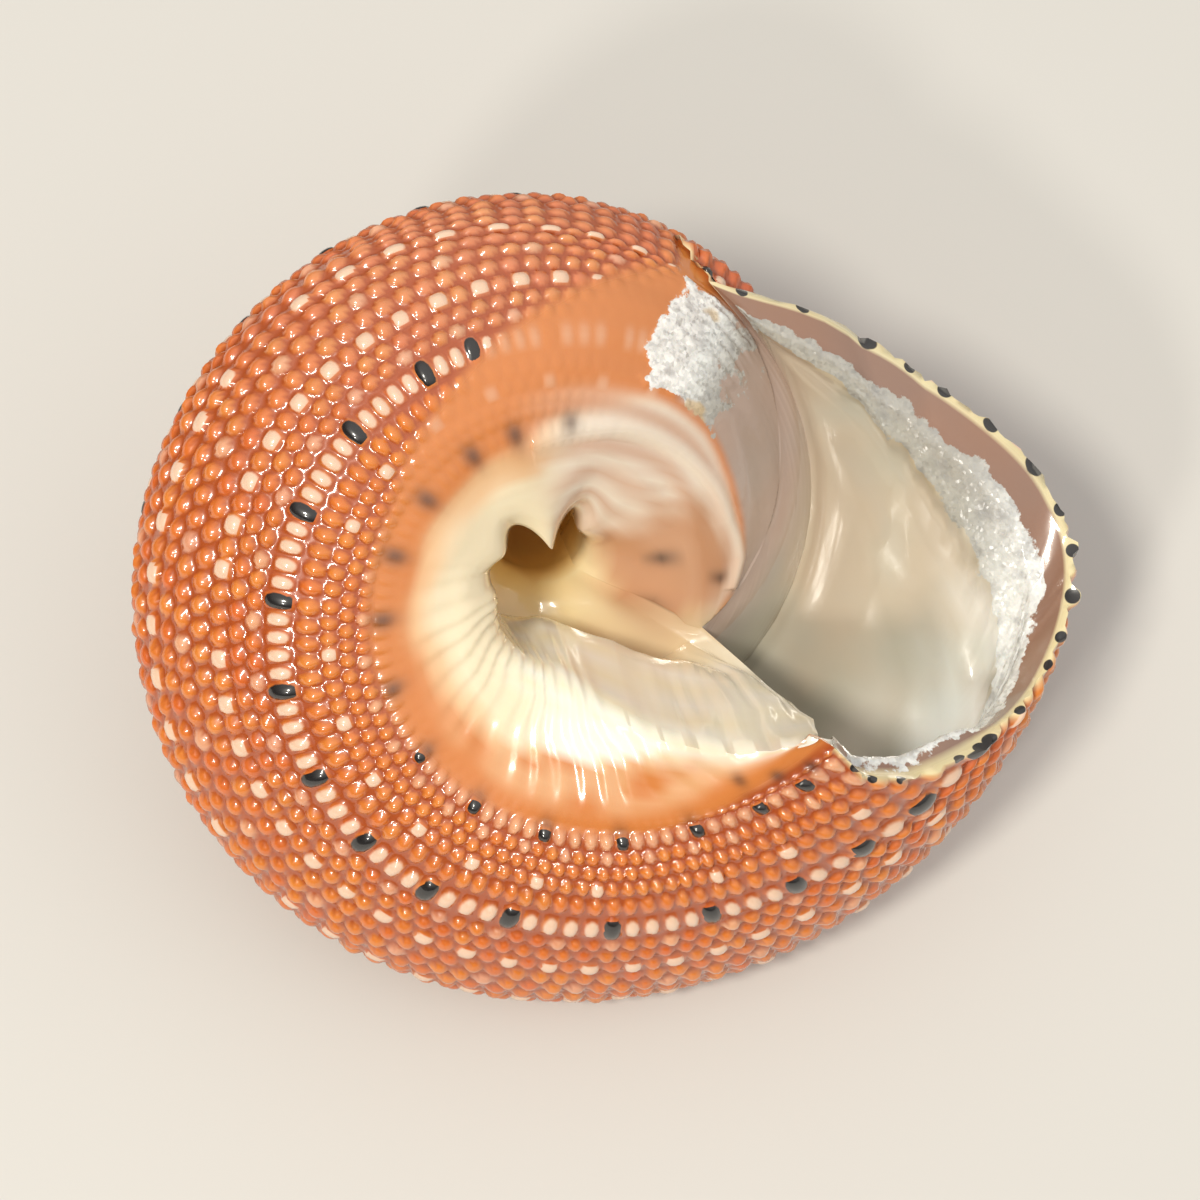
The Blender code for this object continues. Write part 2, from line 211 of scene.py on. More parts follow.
# The hollow: degrees behind the lip of its rings, the ends of the bevel and of the ledge, and walls in mm
HOLLOW_RINGS = (
    0, 0.5, 1.1, 1.8, 2.6, 3.4, 4.2, 5, 6, 7, 8, 9, 10.2, 11.4, 12.6, 13.8, 15, 16.5, 18, 20, 22, 25, 28,
    32, 36, 41, 47, 54, 62, 71, 81, 92, 104, 117, 131, 146, 162, 180,
)
BEVEL_END = (
    (0.4, 6), (0.9, 6), (1.65, 4.6), (2.4, 4.4), (3.1, 4.8), (4.4, 4.2), (6, 3), (7, 1.6), (9, 1),
)
LEDGE_END = ((0.4, 12), (0.8, 14), (1.3, 14), (1.8, 15.5), (2.6, 19), (3.7, 23), (5, 24), (9, 20))
LEDGE_JAG = 1.6
LEDGE_ROUGH = 0.028
NACRE_FOLD = 0.09
FORWARD_FACE = 4.2
WALL_BEVEL = 0.46
WALL_LEDGE = 0.70
WALL_DEEP = 0.52
PILLAR_WALL = 0.75
PARIETAL_WALL = 0.12
EVEN_PASSES = 96
NARROW_BACK = 6.0
END_BACK = 8.0

# Height of the fine unevenness of the shell, in metres
FINE_RELIEF = 0.00004

# Edges sharper than this, in degrees, stay sharp
SHARP_ANGLE = 75.0

# Pose
REST_TURN = 283.0
REST_SLOPE = 47.9
CENTRE_SHIFT = (-1.207, 7.004)

# Lights, in metres and watts: name, azimuth and elevation, size, power, tint
LIGHTS = (
    ("key", (205.0, 62.0), 0.060, 0.47, (1.0, 0.95, 0.84)),
    ("second", (222.0, 40.0), 0.035, 0.22, (1.0, 0.96, 0.88)),
)
LIGHT_DISTANCE = 0.30
LIGHT_AIM = 0.006

# Room light: its brighter side as azimuth and elevation, and its strength away from it and towards it
ROOM_SIDE = (10.0, 70.0)
ROOM_START = -0.1
ROOM_DARK = 0.12
ROOM_BRIGHT = 0.95
ROOM_TINT = (0.90, 0.88, 0.84, 1.0)

# Camera: its distance, angle and shift follow from the photo's proportions
VIEW_TILT = 25.0
VIEW_AROUND = 122.0
PIXELS_PER_MM = 47.35
VIEW_PIXELS = 4000.0
VIEW_AIM = 740.0
VIEW_SHIFT = (-12.0, 68.0)
PHOTO_PIXELS = 1200.0
SENSOR = 36.0


def smooth(value):
    value = np.clip(value, 0.0, 1.0)
    return value * value * (3.0 - 2.0 * value)


def rise(value, start, width):
    """0 up to start, 1 from start + width on."""
    return smooth((value - start) / width)


def fall(value, end, width):
    """1 up to end - width, 0 from end on."""
    return smooth((end - value) / width)


def read_curve(points, place, part=1):
    """Straight-line reading of a list of (place, value), or of a later value in it."""
    return np.interp(place, [p[0] for p in points], [p[part] for p in points])


def wobble(a, b, seed):
    """Smooth uneven value from about -1 to 1; a and b count waves."""
    whole = 2.0 * math.pi
    total = np.sin(whole * (0.61 * a + 0.37 * b) + seed)
    total = total + np.sin(whole * (0.43 * a - 0.71 * b) + 2.1 * seed)
    total = total + np.sin(whole * (1.07 * a + 0.19 * b) + 3.7 * seed)
    total = total + np.sin(whole * (1.13 * b - 0.29 * a) + 5.3 * seed)
    return total / 3.0


def read_rounded(points, place):
    """Reading of a list of (place, value) with rounded tops and dips."""
    at = np.array([p[0] for p in points])
    values = np.array([p[1] for p in points])
    index = np.clip(np.searchsorted(at, place, side="right") - 1, 0, len(at) - 2)
    share = smooth((place - at[index]) / (at[index + 1] - at[index]))
    return values[index] + (values[index + 1] - values[index]) * share


def bump(value, centre, reach):
    """1 at the centre, 0 from reach on."""
    return 1.0 - smooth(np.abs(value - centre) / reach)


def lead(place, stage):
    """How far a place runs ahead of the edge; near the seam its steep slant starts only by the lip."""
    slanted = read_curve(LEAD, place)
    even = read_curve((LEAD[0], LEAD[LEAD_EVEN_KNOT]), place)
    even = np.where(place < LEAD[LEAD_EVEN_KNOT][0], even, slanted)
    return even + (slanted - even) * smooth((stage - LIP_LEAD_START) / (LIP_LEAD_END - LIP_LEAD_START))


def near_lip(stage, start):
    """0 up to a stage of growth, 1 at the lip."""
    return smooth((stage - start) / (360.0 - start))


def growth(turn):
    early = 1.0 - smooth((turn - SHRINK_TO) / (SHRINK_FROM - SHRINK_TO))
    return WHORL_RATIO ** (turn / 360.0 - 1.0) * (1.0 - SPIRE_SHRINK * early)


def outline_knot(index, drop):
    """Knots of the outline; two of them sink as the seam drops behind the mouth."""
    knot = OUTLINE[index, 1:].copy()
    for number, dropped in ((1, DROPPED_SEAM), (2, DROPPED_SHOULDER)):
        here = index == number
        change = np.array(dropped) - OUTLINE[number, 1:]
        knot[here] += drop[here, None] * change
    return knot


def outline_point(place, stage):
    """Smooth curve through the knots; returns points and their directions."""
    drop = near_lip(stage, DROP_START)
    last = len(OUTLINE) - 2
    index = np.clip(np.searchsorted(OUTLINE[:, 0], place, side="right") - 1, 0, last)
    low = np.maximum(index - 1, 0)
    high = np.minimum(index + 2, last + 1)
    start = outline_knot(index, drop)
    end = outline_knot(index + 1, drop)
    before = outline_knot(low, drop)
    after = outline_knot(high, drop)
    at = OUTLINE[:, 0]
    span = (at[index + 1] - at[index])[:, None]
    t = (place - at[index])[:, None] / span
    rise_start = (end - before) / (at[index + 1] - at[low])[:, None] * span
    rise_end = (after - start) / (at[high] - at[index])[:, None] * span
    a = 2.0 * start - 2.0 * end + rise_start + rise_end
    b = -3.0 * start + 3.0 * end - 2.0 * rise_start - rise_end
    point = ((a * t + b) * t + rise_start) * t + start
    slope = (3.0 * a * t + 2.0 * b) * t + rise_start
    return point, slope / np.linalg.norm(slope, axis=1)[:, None]


def surface(place, turn, stage, lift):
    """Points on the outside, raised by lift along the outward normal."""
    point, direction = outline_point(place, stage)
    scale = growth(turn)
    distance = scale * (point[:, 0] + direction[:, 1] * lift)
    depth = scale * (point[:, 1] - direction[:, 0] * lift)
    angle = np.radians(turn)
    return np.stack((distance * np.cos(angle), distance * np.sin(angle), depth), axis=1)


def swung(row, stage):
    """Rows of the base swing outward near the lip."""
    return row + read_curve(SWING, stage) * read_curve(SWING_SHARE, row)


def crowding(row, stage):
    """1 where a row starts at the root of the lip and the pillar, 0 away from it."""
    begun = stage - first_index(row) * STEP if row < ROOT_ROW else stage
    reach = np.where(begun < 0.0, ROOT_BEFORE, ROOT_AFTER)
    return 1.0 - smooth(np.abs(begun) / reach)


def row_place(row, stage):
    """Where a mesh row lies on the outline; rows crowd together at the root of the pillar."""
    rim = RIM_ROW - (RIM_ROW - PILLAR_RIM) * near_lip(stage, PILLAR_START)
    place = swung(row, stage)
    if row > NAVEL_FIRST_ROW:
        place = place + (row - NAVEL_FIRST_ROW) * (rim - RIM_ROW) / (RIM_ROW - NAVEL_FIRST_ROW)
    if row <= EDGE_ROW:
        return place
    return place + crowding(row, stage) * (read_curve(CROWDED, row) - place)


def glaze(place, turn):
    """1 under the smooth glaze round the navel, 0 on the beads."""
    limit = read_curve(GLAZE_LIMIT, turn)
    width = 0.9 - 0.55 * rise(turn, 190.0, 60.0)
    value = smooth((place - limit) / width + 0.5)
    value = np.where(turn < 66.0, 1.0, value)
    return np.where(place < 4.2, 0.0, value)


def first_index(row):
    """The first step of growth at which a row is on the outside."""
    if row < EDGE_ROW:
        return FIRST_INDEX
    if row >= ROOT_ROW:
        return -STEPS_PER_TURN
    return int(round(EDGE_FIRST * (ROOT_ROW - row) / (ROOT_ROW - EDGE_ROW)))


def cord_rows():
    """Rows of the mesh: {row: (cord number, place across the cord from -1 to 1)}."""
    rows = {}
    grooves = list(zip(FLANK_GROOVES[:-1], FLANK_GROOVES[1:]))
    grooves += list(zip(BASE_GROOVES[:-1], BASE_GROOVES[1:]))
    for number, (low, high) in enumerate(grooves):
        cuts = FLANK_CUTS if high <= EDGE_ROW else BASE_CUTS
        if number == ROW_ONE:
            cuts = BROAD_CUTS
        if number == EDGE_CORD:
            cuts = EDGE_CUTS
        for cut in cuts:
            row = round(0.5 * (low + high) + 0.5 * (high - low) * cut, 4)
            rows[row] = (number, cut)
    rows[BASE_GROOVES[-1]] = (len(grooves) - 1, 1.0)
    return rows


CORD_ROWS = cord_rows()
GROOVES = FLANK_GROOVES[:-1] + BASE_GROOVES
CORD_CENTRES = [0.5 * (low + high) for low, high in zip(GROOVES[:-1], GROOVES[1:])]
OUTSIDE_ROWS = sorted(set(CORD_ROWS) | set(NAVEL_ROWS))


# Beads

def evenly(anchors, period, pitch, between):
    """Bead centres, with a black bead at every anchor and even beads between; in degrees."""
    anchors = list(anchors)
    while anchors[0] > FIRST_INDEX * STEP - 30.0:
        anchors.insert(0, anchors[0] - period)
    anchors.append(anchors[-1] + period)
    centres = []
    kinds = []
    for start, end in zip(anchors[:-1], anchors[1:]):
        count = max(1, int(round((end - start) / pitch)))
        for k in range(count):
            centres.append(start + (end - start) * k / count)
            kinds.append(BLACK if k == 0 else between)
    return centres, kinds


def repeating(number, pattern):
    """Bead centres of a plain cord, nearly in line with its neighbours; the pattern repeats along it."""
    chance = random.Random(100 + number)
    place = FIRST_INDEX * STEP - 60.0
    drift = 0.0
    centres = []
    kinds = []
    while place < 360.0 + BEADS_PAST_LIP:
        k = len(centres)
        drift = DRIFT_KEPT * drift + chance.uniform(-BEAD_DRIFT, BEAD_DRIFT)
        centres.append(place + drift)
        place += BEAD_STEPS * STEP * (1.0 - LIP_CROWDING * float(rise(place, 190.0, 120.0)))
        kind = pattern[(k + number) % len(pattern)]
        if kind == PALE and chance.random() < PALE_MISSING:
            kind = ORANGE
        kinds.append(kind)
    return centres, kinds


PATTERNS = {
    1: (BLACK, PALE, ORANGE, PALE),
    4: (ORANGE, ORANGE, PALE, ORANGE),
    6: (BLACK, PALE, PALE, ORANGE),
    9: (ORANGE, PALE, ORANGE, ORANGE, PALE),
    12: (BLACK, PALE, ORANGE, PALE),
    14: (ORANGE, FAINT, ORANGE),
    16: (ORANGE, PALE),
    18: (ORANGE, ORANGE, ORANGE, FAINT),
    20: (ORANGE, PALE),
    22: (ORANGE, ORANGE, FAINT),
    25: (ORANGE, ORANGE, PALE, ORANGE),
    27: (ORANGE, FAINT, ORANGE),
}


def cord_beads(number):
    """Bead centres and half lengths in steps, kinds and random shares along a cord."""
    if number == ROW_ONE:
        centres, kinds = evenly(ROW_ONE_BLACK, ROW_ONE_PERIOD, ROW_ONE_PITCH, PALE)
    elif number == ROW_TWO:
        centres, kinds = evenly(ROW_TWO_BLACK, ROW_TWO_PERIOD, ROW_TWO_PITCH, FAINT)
    else:
        centres, kinds = repeating(number, PATTERNS.get(number, (ORANGE,)))
    chance = random.Random(500 + number)
    shares = np.array([chance.random() for _ in centres])
    steps = np.array(centres) / STEP
    return steps, 0.5 * np.gradient(steps), np.array(kinds), shares


BEADS = [cord_beads(number) for number in range(len(FLANK_GROOVES) + len(BASE_GROOVES) - 2)]


def steps_along(row, place, index):
    """Steps measured round the turn, so that beads stay round although the rows slant."""
    centre = row_place(CORD_CENTRES[CORD_ROWS[row][0]], index * STEP)
    stage = index * STEP
    return index + (lead(place, stage) - lead(centre, stage)) / STEP


def bead_at(row, index, place):
    """Dome height, distance from the bead's centre (1 at its edge), kind and random share at each step."""
    if row not in CORD_ROWS:
        nothing = np.zeros(len(index))
        return nothing, nothing + 2.0, nothing, nothing
    number, cut = CORD_ROWS[row]
    steps, halves, kinds, shares = BEADS[number]
    here = steps_along(row, place, index)
    bead = np.clip(np.searchsorted(steps, here), 1, len(steps) - 1)
    bead = bead - (np.abs(steps[bead - 1] - here) < np.abs(steps[bead] - here))
    across = np.abs(here - steps[bead]) / halves[bead]
    kinds = kinds[bead]
    shares = shares[bead]
    if number == ROW_ONE:
        length = np.where(kinds == BLACK, 1.0, BROAD_PALE[0])
        height = np.where(kinds == BLACK, 1.0, BROAD_PALE[1])
        reach = (across / length) ** BROAD_POWERS[0] + (abs(cut) / height) ** BROAD_POWERS[1]
    else:
        plain = (kinds == ORANGE) | (kinds == FAINT)
        power = np.where(plain, ROUND_POWER, PALE_POWER)
        width = np.where(plain, ROUND_WIDTH, PALE_WIDTH)
        reach = (across / width) ** power + (abs(cut) / width) ** power
    if number == EDGE_CORD:
        part = abs((cut + 1.0) * 0.5 * EDGE_CORD_PARTS % 1.0 * 2.0 - 1.0)
        split = (across / ROUND_WIDTH) ** ROUND_POWER + (part / ROUND_WIDTH) ** ROUND_POWER
        reach = reach + (split - reach) * rise(crowding(row, index * STEP), 0.15, 0.3)
    reach = np.sqrt(reach)
    dome = np.clip(1.0 - reach * reach, 0.0, 1.0) ** DOME_POWER * (DOME_EVEN + DOME_UNEVEN * shares)
    ridge = CORD_RIDGE * (1.0 - cut * cut)
    height = GLAZE_CORD if row > BASE_GROOVES[-2] else 1.0
    return np.maximum(dome, ridge) * height, reach, kinds, shares


# Points of the outside

def row_points(row, index, beads=1.0):
    """Points and looks of one mesh row at an array of steps."""
    stage = index * STEP
    if row > RIM_ROW:
        rim, looks = row_points(RIM_ROW, index, beads)
        seam = navel_seam(index)
        waist = rim + (seam - rim) * (row - RIM_ROW) / (SEAM_ROW - RIM_ROW)
        waist[:, :2] *= (1.0 - (1.0 - near_lip(stage, PILLAR_START)) * NAVEL_WAIST)[:, None]
        looks["row"] = row
        return waist, looks
    place = row_place(row, stage)
    turn = stage + lead(place, stage)
    cover = glaze(place, turn)
    dome, reach, kinds, shares = bead_at(row, index, place)
    lift = dome * BEAD_HEIGHT * (1.0 - under_glaze(turn) * cover) * beads
    lift = lift + beads * glaze_relief(place, turn, cover)
    lift = lift + beads * rim_beads(row, stage)
    points = surface(place, turn, stage, lift)
    if row > NAVEL_FIRST_ROW:
        share = ((row - NAVEL_FIRST_ROW) / (RIM_ROW - NAVEL_FIRST_ROW)) ** 2
        pull = 1.0 - read_rounded(RIM_TEETH, turn) * share * (stage > 0.0)
        points[:, :2] *= pull[:, None]
    looks = {
        "dome": dome, "reach": reach, "kind": kinds, "share": shares, "cover": cover,
        "place": place, "turn": turn, "stage": stage, "row": row,
    }
    return points, looks


def under_glaze(turn):
    """How far the glaze levels the beads; beside the mouth they are gone."""
    return 0.98 - 0.11 * rise(turn, 75.0, 20.0)


def rim_beads(row, stage):
    """Beads along the very edge of the lip, in mm."""
    height = np.zeros(len(stage))
    for centre, radius in RIM_SPOTS:
        height = np.maximum(height, 0.6 * radius * math.exp(-((row - centre) * 1.3 / radius) ** 2))
    return height * rise(stage, 356.5, 3.0)


def glaze_relief(place, turn, cover):
    """Low waves and folds of the glaze, the ridge beside the mouth, and the broken pearly patch, in mm."""
    waves = GLAZE_WAVE * wobble(place * 1.1, turn / 40.0, 1.3) * cover
    ridge = RIDGE_HEIGHT * bump(place, read_curve(RIDGE, turn), 0.34) * (turn < 104.0) * (turn > -12.0)
    patch = smooth(patch_margin(place, turn) / 0.16 + 0.5)
    rough = PATCH_ROUGH[0] * wobble(place * 3.1, turn / 7.7, 2.9)
    rough = rough + PATCH_ROUGH[1] * wobble(place * 6.3, turn / 4.9, 0.7)
    fan = np.sin(2.0 * math.pi * (turn / 8.5 + 0.55 * place + 0.25 * wobble(turn / 31.0, place * 0.6, 3.9)))
    creases = CREASE * fan * rise(place, 9.35, 0.5) * rise(turn, 150.0, 40.0)
    return waves + ridge + creases + patch * (PATCH_HEIGHT + rough)


def patch_margin(place, turn):
    """Distance in mm inside the edge of the broken patch of mother-of-pearl at the top of the mouth."""
    left = read_curve(PATCH_EDGE, place)
    low = read_curve(PEARL_LIMIT, turn)
    margin = np.minimum((left - turn) * 0.12, (low - place) * 1.3)
    margin = np.minimum(margin, (turn - 44.0) * 0.025)
    return np.where((place > 4.4) & (turn < 90.0), np.minimum(margin, (place - 5.2) * 1.5), -1.0)


def pillar_fold(row, stage):
    """Shift of the pillar's rows in mm: the fold over the navel and the knobbly edge by the mouth."""
    shifts = []
    for part in (1, 2):
        edge = read_curve(FOLD_EDGE, stage, part) * read_curve(FOLD_SHARES, row, 1)
        shifts.append(edge + read_curve(FOLD_FACE, stage, part) * read_curve(FOLD_SHARES, row, 2))
    near = rise(stage, 318.0, 38.0) * rise(row, 11.0, 1.5) * smooth((SEAM_ROW - row) / 1.0)
    knobs = KNOBS[0] * wobble(stage / 8.0, row * 0.6, 1.1)
    knobs = near * (knobs + KNOBS[1] * wobble(stage / 3.9, row * 1.1, 2.3))
    return np.outer(shifts[0] + knobs, FOLD_RIGHT) + np.outer(shifts[1] + knobs, FOLD_UP)


def navel_seam(index):
    """Where the navel's wall stands on the whorl before it."""
    return row_points(ROOT_ROW, index - STEPS_PER_TURN, 0.0)[0]


def outside_points(row, index, beads=1.0, fold=1.0):
    """Deep in the navel the folds fade into its bottom."""
    points, looks = row_points(row, index, beads)
    if row <= ROOT_ROW or row >= SEAM_ROW:
        return points, looks
    stage = index * STEP
    points = points + fold * pillar_fold(row, stage)
    fade = smooth((stage + 360.0) / NAVEL_FADE)[:, None]
    upper = row_points(ROOT_ROW, index, beads)[0]
    lower = row_points(SEAM_ROW, index, beads)[0]
    plain = upper + (lower - upper) * (row - ROOT_ROW) / (SEAM_ROW - ROOT_ROW)
    return plain + (points - plain) * fade, looks


LOOKS = (
    "dome", "reach", "kind", "share", "cover", "place", "turn", "stage", "row", "depth", "zone", "along",
)


class Sheet:
    """Collects points, their looks and faces; begin is the first step of its edge."""

    def __init__(self, begin):
        self.begin = begin
        self.blocks = []
        self.looks = {name: [] for name in LOOKS}
        self.count = 0
        self.faces = []
        self.rows = {}

    def add(self, points, looks):
        points = np.asarray(points, float).reshape(-1, 3)
        start = self.count
        self.blocks.append(points)
        for name in LOOKS:
            value = np.asarray(looks.get(name, 0.0), float)
            self.looks[name].append(np.broadcast_to(value, (len(points),)))
        self.count += len(points)
        return start

    def add_row(self, row, first, last):
        points, looks = outside_points(row, np.arange(first, last + 1))
        self.rows[row] = (self.add(points, looks), first)

    def at(self, row, index):
        """Number of a point; on a seam it is the one of the whorl before."""
        if row == 0.0 and index - SEAM_STEPS >= self.begin:
            row = EDGE_ROW
            index -= SEAM_STEPS
        if row == SEAM_ROW and index >= 0:
            row = ROOT_ROW
            index -= STEPS_PER_TURN
        start, first = self.rows[row]
        return start + index - first

    def face(self, *corners):
        corners = tuple(dict.fromkeys(corners))
        if len(corners) > 2:
            self.faces.append(corners)

    def ladder(self, left, right):
        """Join two chains of points of different lengths."""
        i = 0
        j = 0
        while i < len(left) - 1 or j < len(right) - 1:
            step_left = (i + 1) / max(len(left) - 1, 1)
            step_right = (j + 1) / max(len(right) - 1, 1)
            if j >= len(right) - 1 or (i < len(left) - 1 and step_left <= step_right):
                self.face(left[i], left[i + 1], right[j])
                i += 1
            else:
                self.face(left[i], right[j + 1], right[j])
                j += 1

    def all_points(self):
        return np.concatenate(self.blocks)

    def look(self, name):
        return np.concatenate(self.looks[name])


def add_strip(sheet, upper, lower, upper_first, lower_first, last):
    """Join two neighbouring rows; where one starts earlier, a fan fills the corner."""
    common = max(upper_first, lower_first)
    for index in range(common, last):
        sheet.face(sheet.at(upper, index), sheet.at(upper, index + 1),
                   sheet.at(lower, index + 1), sheet.at(lower, index))
    for index in range(lower_first, common):
        sheet.face(sheet.at(upper, common), sheet.at(lower, index + 1), sheet.at(lower, index))
    for index in range(upper_first, common):
        sheet.face(sheet.at(upper, index), sheet.at(upper, index + 1), sheet.at(lower, common))


def add_body_rows(body):
    for row in OUTSIDE_ROWS:
        first = 0 if row <= EDGE_ROW else max(0, first_index(row))
        last = LAST_INDEX
        if row == 0.0:
            last = SEAM_STEPS - 1
        if row in DEEP_ROWS:
            first = -STEPS_PER_TURN
        if row == SEAM_ROW:
            last = -1
        body.add_row(row, first, last)


def add_body_strips(body):
    for upper, lower in zip(OUTSIDE_ROWS[:-1], OUTSIDE_ROWS[1:]):
        upper_first = first_index(upper) if EDGE_ROW < lower <= ROOT_ROW else 0
        lower_first = first_index(lower) if EDGE_ROW < lower < ROOT_ROW else 0
        add_strip(body, upper, lower, upper_first, lower_first, LAST_INDEX)
    for upper, lower in zip(DEEP_ROWS[:-1], DEEP_ROWS[1:]):
        add_strip(body, upper, lower, -STEPS_PER_TURN, -STEPS_PER_TURN, -1)
        between = [row for row in OUTSIDE_ROWS if upper <= row <= lower]
        fine = [body.at(row, 0) for row in between]
        body.ladder(fine, [body.at(upper, -1), body.at(lower, -1)])


def add_navel_bottom(body):
    ring = [body.at(SEAM_ROW, index) for index in range(-STEPS_PER_TURN, 0)]
    start = [body.at(row, -STEPS_PER_TURN) for row in DEEP_ROWS[:-1]]
    add_fan(body, ring + start, (0.0, 0.0, NAVEL_BOTTOM))


def add_fan(sheet, loop, centre):
    point = sheet.add([centre], {"place": 14.0})
    for a, b in zip(loop, loop[1:] + loop[:1]):
        sheet.face(point, a, b)


def inward(points):
    """Unit directions into the hollow for a closed loop of points, evened out along it."""
    along = np.roll(points, -1, axis=0) - np.roll(points, 1, axis=0)
    forward = np.stack((-points[:, 1], points[:, 0], np.zeros(len(points))), axis=1)
    result = np.cross(along, forward)
    result /= np.linalg.norm(result, axis=1)[:, None]
    return even(result, EVEN_PASSES)


def even(values, passes):
    for _ in range(passes):
        values = np.roll(values, 1, axis=0) + 2.0 * values + np.roll(values, -1, axis=0)
        values /= np.linalg.norm(values, axis=1)[:, None]
    return values


def shrink_back(points, degrees):
    """Slide points back down the coil."""
    angle = np.radians(-degrees) * np.ones(len(points))
    turned = points.copy()
    turned[:, 0] = points[:, 0] * np.cos(angle) - points[:, 1] * np.sin(angle)
    turned[:, 1] = points[:, 0] * np.sin(angle) + points[:, 1] * np.cos(angle)
    return turned * (WHORL_RATIO ** (-degrees / 360.0) * np.ones(len(points)))[:, None]


def wall_thickness(along, ring):
    """Wall along the mouth loop: a sharp rim, a bevel, the rough ledge and the thinner deep wall."""
    bevel = read_curve(BEVEL_END, along)
    ledge = read_curve(LEDGE_END, along) + LEDGE_JAG * wobble(along * 2.7, along * 6.1, 1.7)
    lip = WALL_BEVEL * np.clip(ring / bevel, 0.0, 1.0)
    lip = lip + (WALL_LEDGE - WALL_BEVEL) * smooth((ring - bevel) / 2.0)
    rough = wobble(along * 9.0, ring / 2.1, 3.1) + 0.8 * wobble(along * 19.0, ring / 1.3, 5.2)
    rough = rough * LEDGE_ROUGH
    lip = lip + rough * smooth((ring - bevel) / 1.0) * (1.0 - smooth((ring - ledge) / 2.0))
    lip = lip + (WALL_DEEP - WALL_LEDGE) * smooth((ring - ledge) / 2.5)
    lip = lip + NACRE_FOLD * wobble(along * 0.8, ring / 9.0, 2.2) * smooth((ring - ledge) / 6.0)
    depth = float(smooth(ring / 22.0))
    start = np.clip(0.5 + (along - LIP_FIRST_ROW), 0.5, 1.0)
    pillar = PILLAR_WALL * depth * (1.0 - 0.5 * rise(along, 13.5, 1.5))
    share = rise(along, 8.9, 0.8)
    wall = lip * start * (1.0 - share) + pillar * share
    return np.where(along > SEAM_ROW, PARIETAL_WALL * depth, wall)


def hollow_base(lip, back, fold):
    """The loop of the mouth that the hollow follows."""
    base = [outside_points(row, np.array([LAST_INDEX]), 0.0, fold)[0][0] for row in lip]
    base += [outside_points(row, np.array([first_index(row)]), 0.0, fold)[0][0] for row in back]
    return np.array(base)


def add_hollow(body):
    lip = [row for row in OUTSIDE_ROWS if row >= LIP_FIRST_ROW]
    back = [row for row in reversed(OUTSIDE_ROWS) if BACK_LAST_ROW <= row < ROOT_ROW]
    loop = [body.at(row, LAST_INDEX) for row in lip] + [body.at(row, first_index(row)) for row in back]
    folded = hollow_base(lip, back, 1.0)
    plain = hollow_base(lip, back, 0.0)
    directions = inward(plain)
    along = np.array(lip + [SEAM_ROW + ROOT_ROW - row for row in back])
    forward = FORWARD_FACE * rise(along, 6.2, 1.2) * (1.0 - rise(along, 9.0, 2.0))
    previous = loop
    for ring in HOLLOW_RINGS[1:]:
        wall = wall_thickness(along, ring)
        slide = ring - forward * smooth(ring / 3.0) * (1.0 - rise(ring, 4.0, 14.0))
        base = folded + (plain - folded) * smooth(ring / 9.0)
        points = shrink_back(base + directions * wall[:, None], slide)
        start = body.add(points, {"depth": ring, "zone": 1.0, "along": along, "reach": 2.0})
        current = list(range(start, start + len(points)))
        join_rings(body, previous, current)
        previous = current
    middle = points.mean(axis=0)
    narrow = shrink_back(points + (middle - points) * 0.5, NARROW_BACK)
    deepest = HOLLOW_RINGS[-1]
    looks = {"depth": deepest + NARROW_BACK, "zone": 1.0, "along": along, "reach": 2.0}
    start = body.add(narrow, looks)
    current = list(range(start, start + len(narrow)))
    join_rings(body, previous, current)
    looks = {"depth": deepest + END_BACK, "zone": 1.0, "reach": 2.0}
    end = body.add(shrink_back(middle[None, :], END_BACK), looks)
    for a, b in zip(current, current[1:] + current[:1]):
        body.face(a, end, b)


def join_rings(sheet, outer, inner):
    count = len(outer)
    for k in range(count):
        following = (k + 1) % count
        sheet.face(outer[k], inner[k], inner[following], outer[following])


def add_seam_corner(body):
    """The bit of the earlier whorl between its edge and the dropped seam."""
    lip = [body.at(row, LAST_INDEX) for row in OUTSIDE_ROWS if row <= LIP_FIRST_ROW]
    start = [body.at(row, first_index(row)) for row in OUTSIDE_ROWS if EDGE_ROW <= row <= BACK_LAST_ROW]
    body.ladder(lip, start)


def spire_join():
    """Rows that meet where the last whorl takes over from the spire."""
    return [row for row in OUTSIDE_ROWS if row <= EDGE_ROW]


def add_body_cap(body):
    """Closes the last whorl where the spire goes on."""
    loop = [body.at(0.0, index) for index in range(0, SEAM_STEPS + 1)]
    loop += [body.at(row, 0) for row in reversed(spire_join()[1:-1])]
    add_fan(body, loop, (0.0, 0.0, CAP_DEPTH))


def make_body():
    body = Sheet(0)
    add_body_rows(body)
    add_body_strips(body)
    add_navel_bottom(body)
    add_seam_corner(body)
    add_hollow(body)
    add_body_cap(body)
    return body


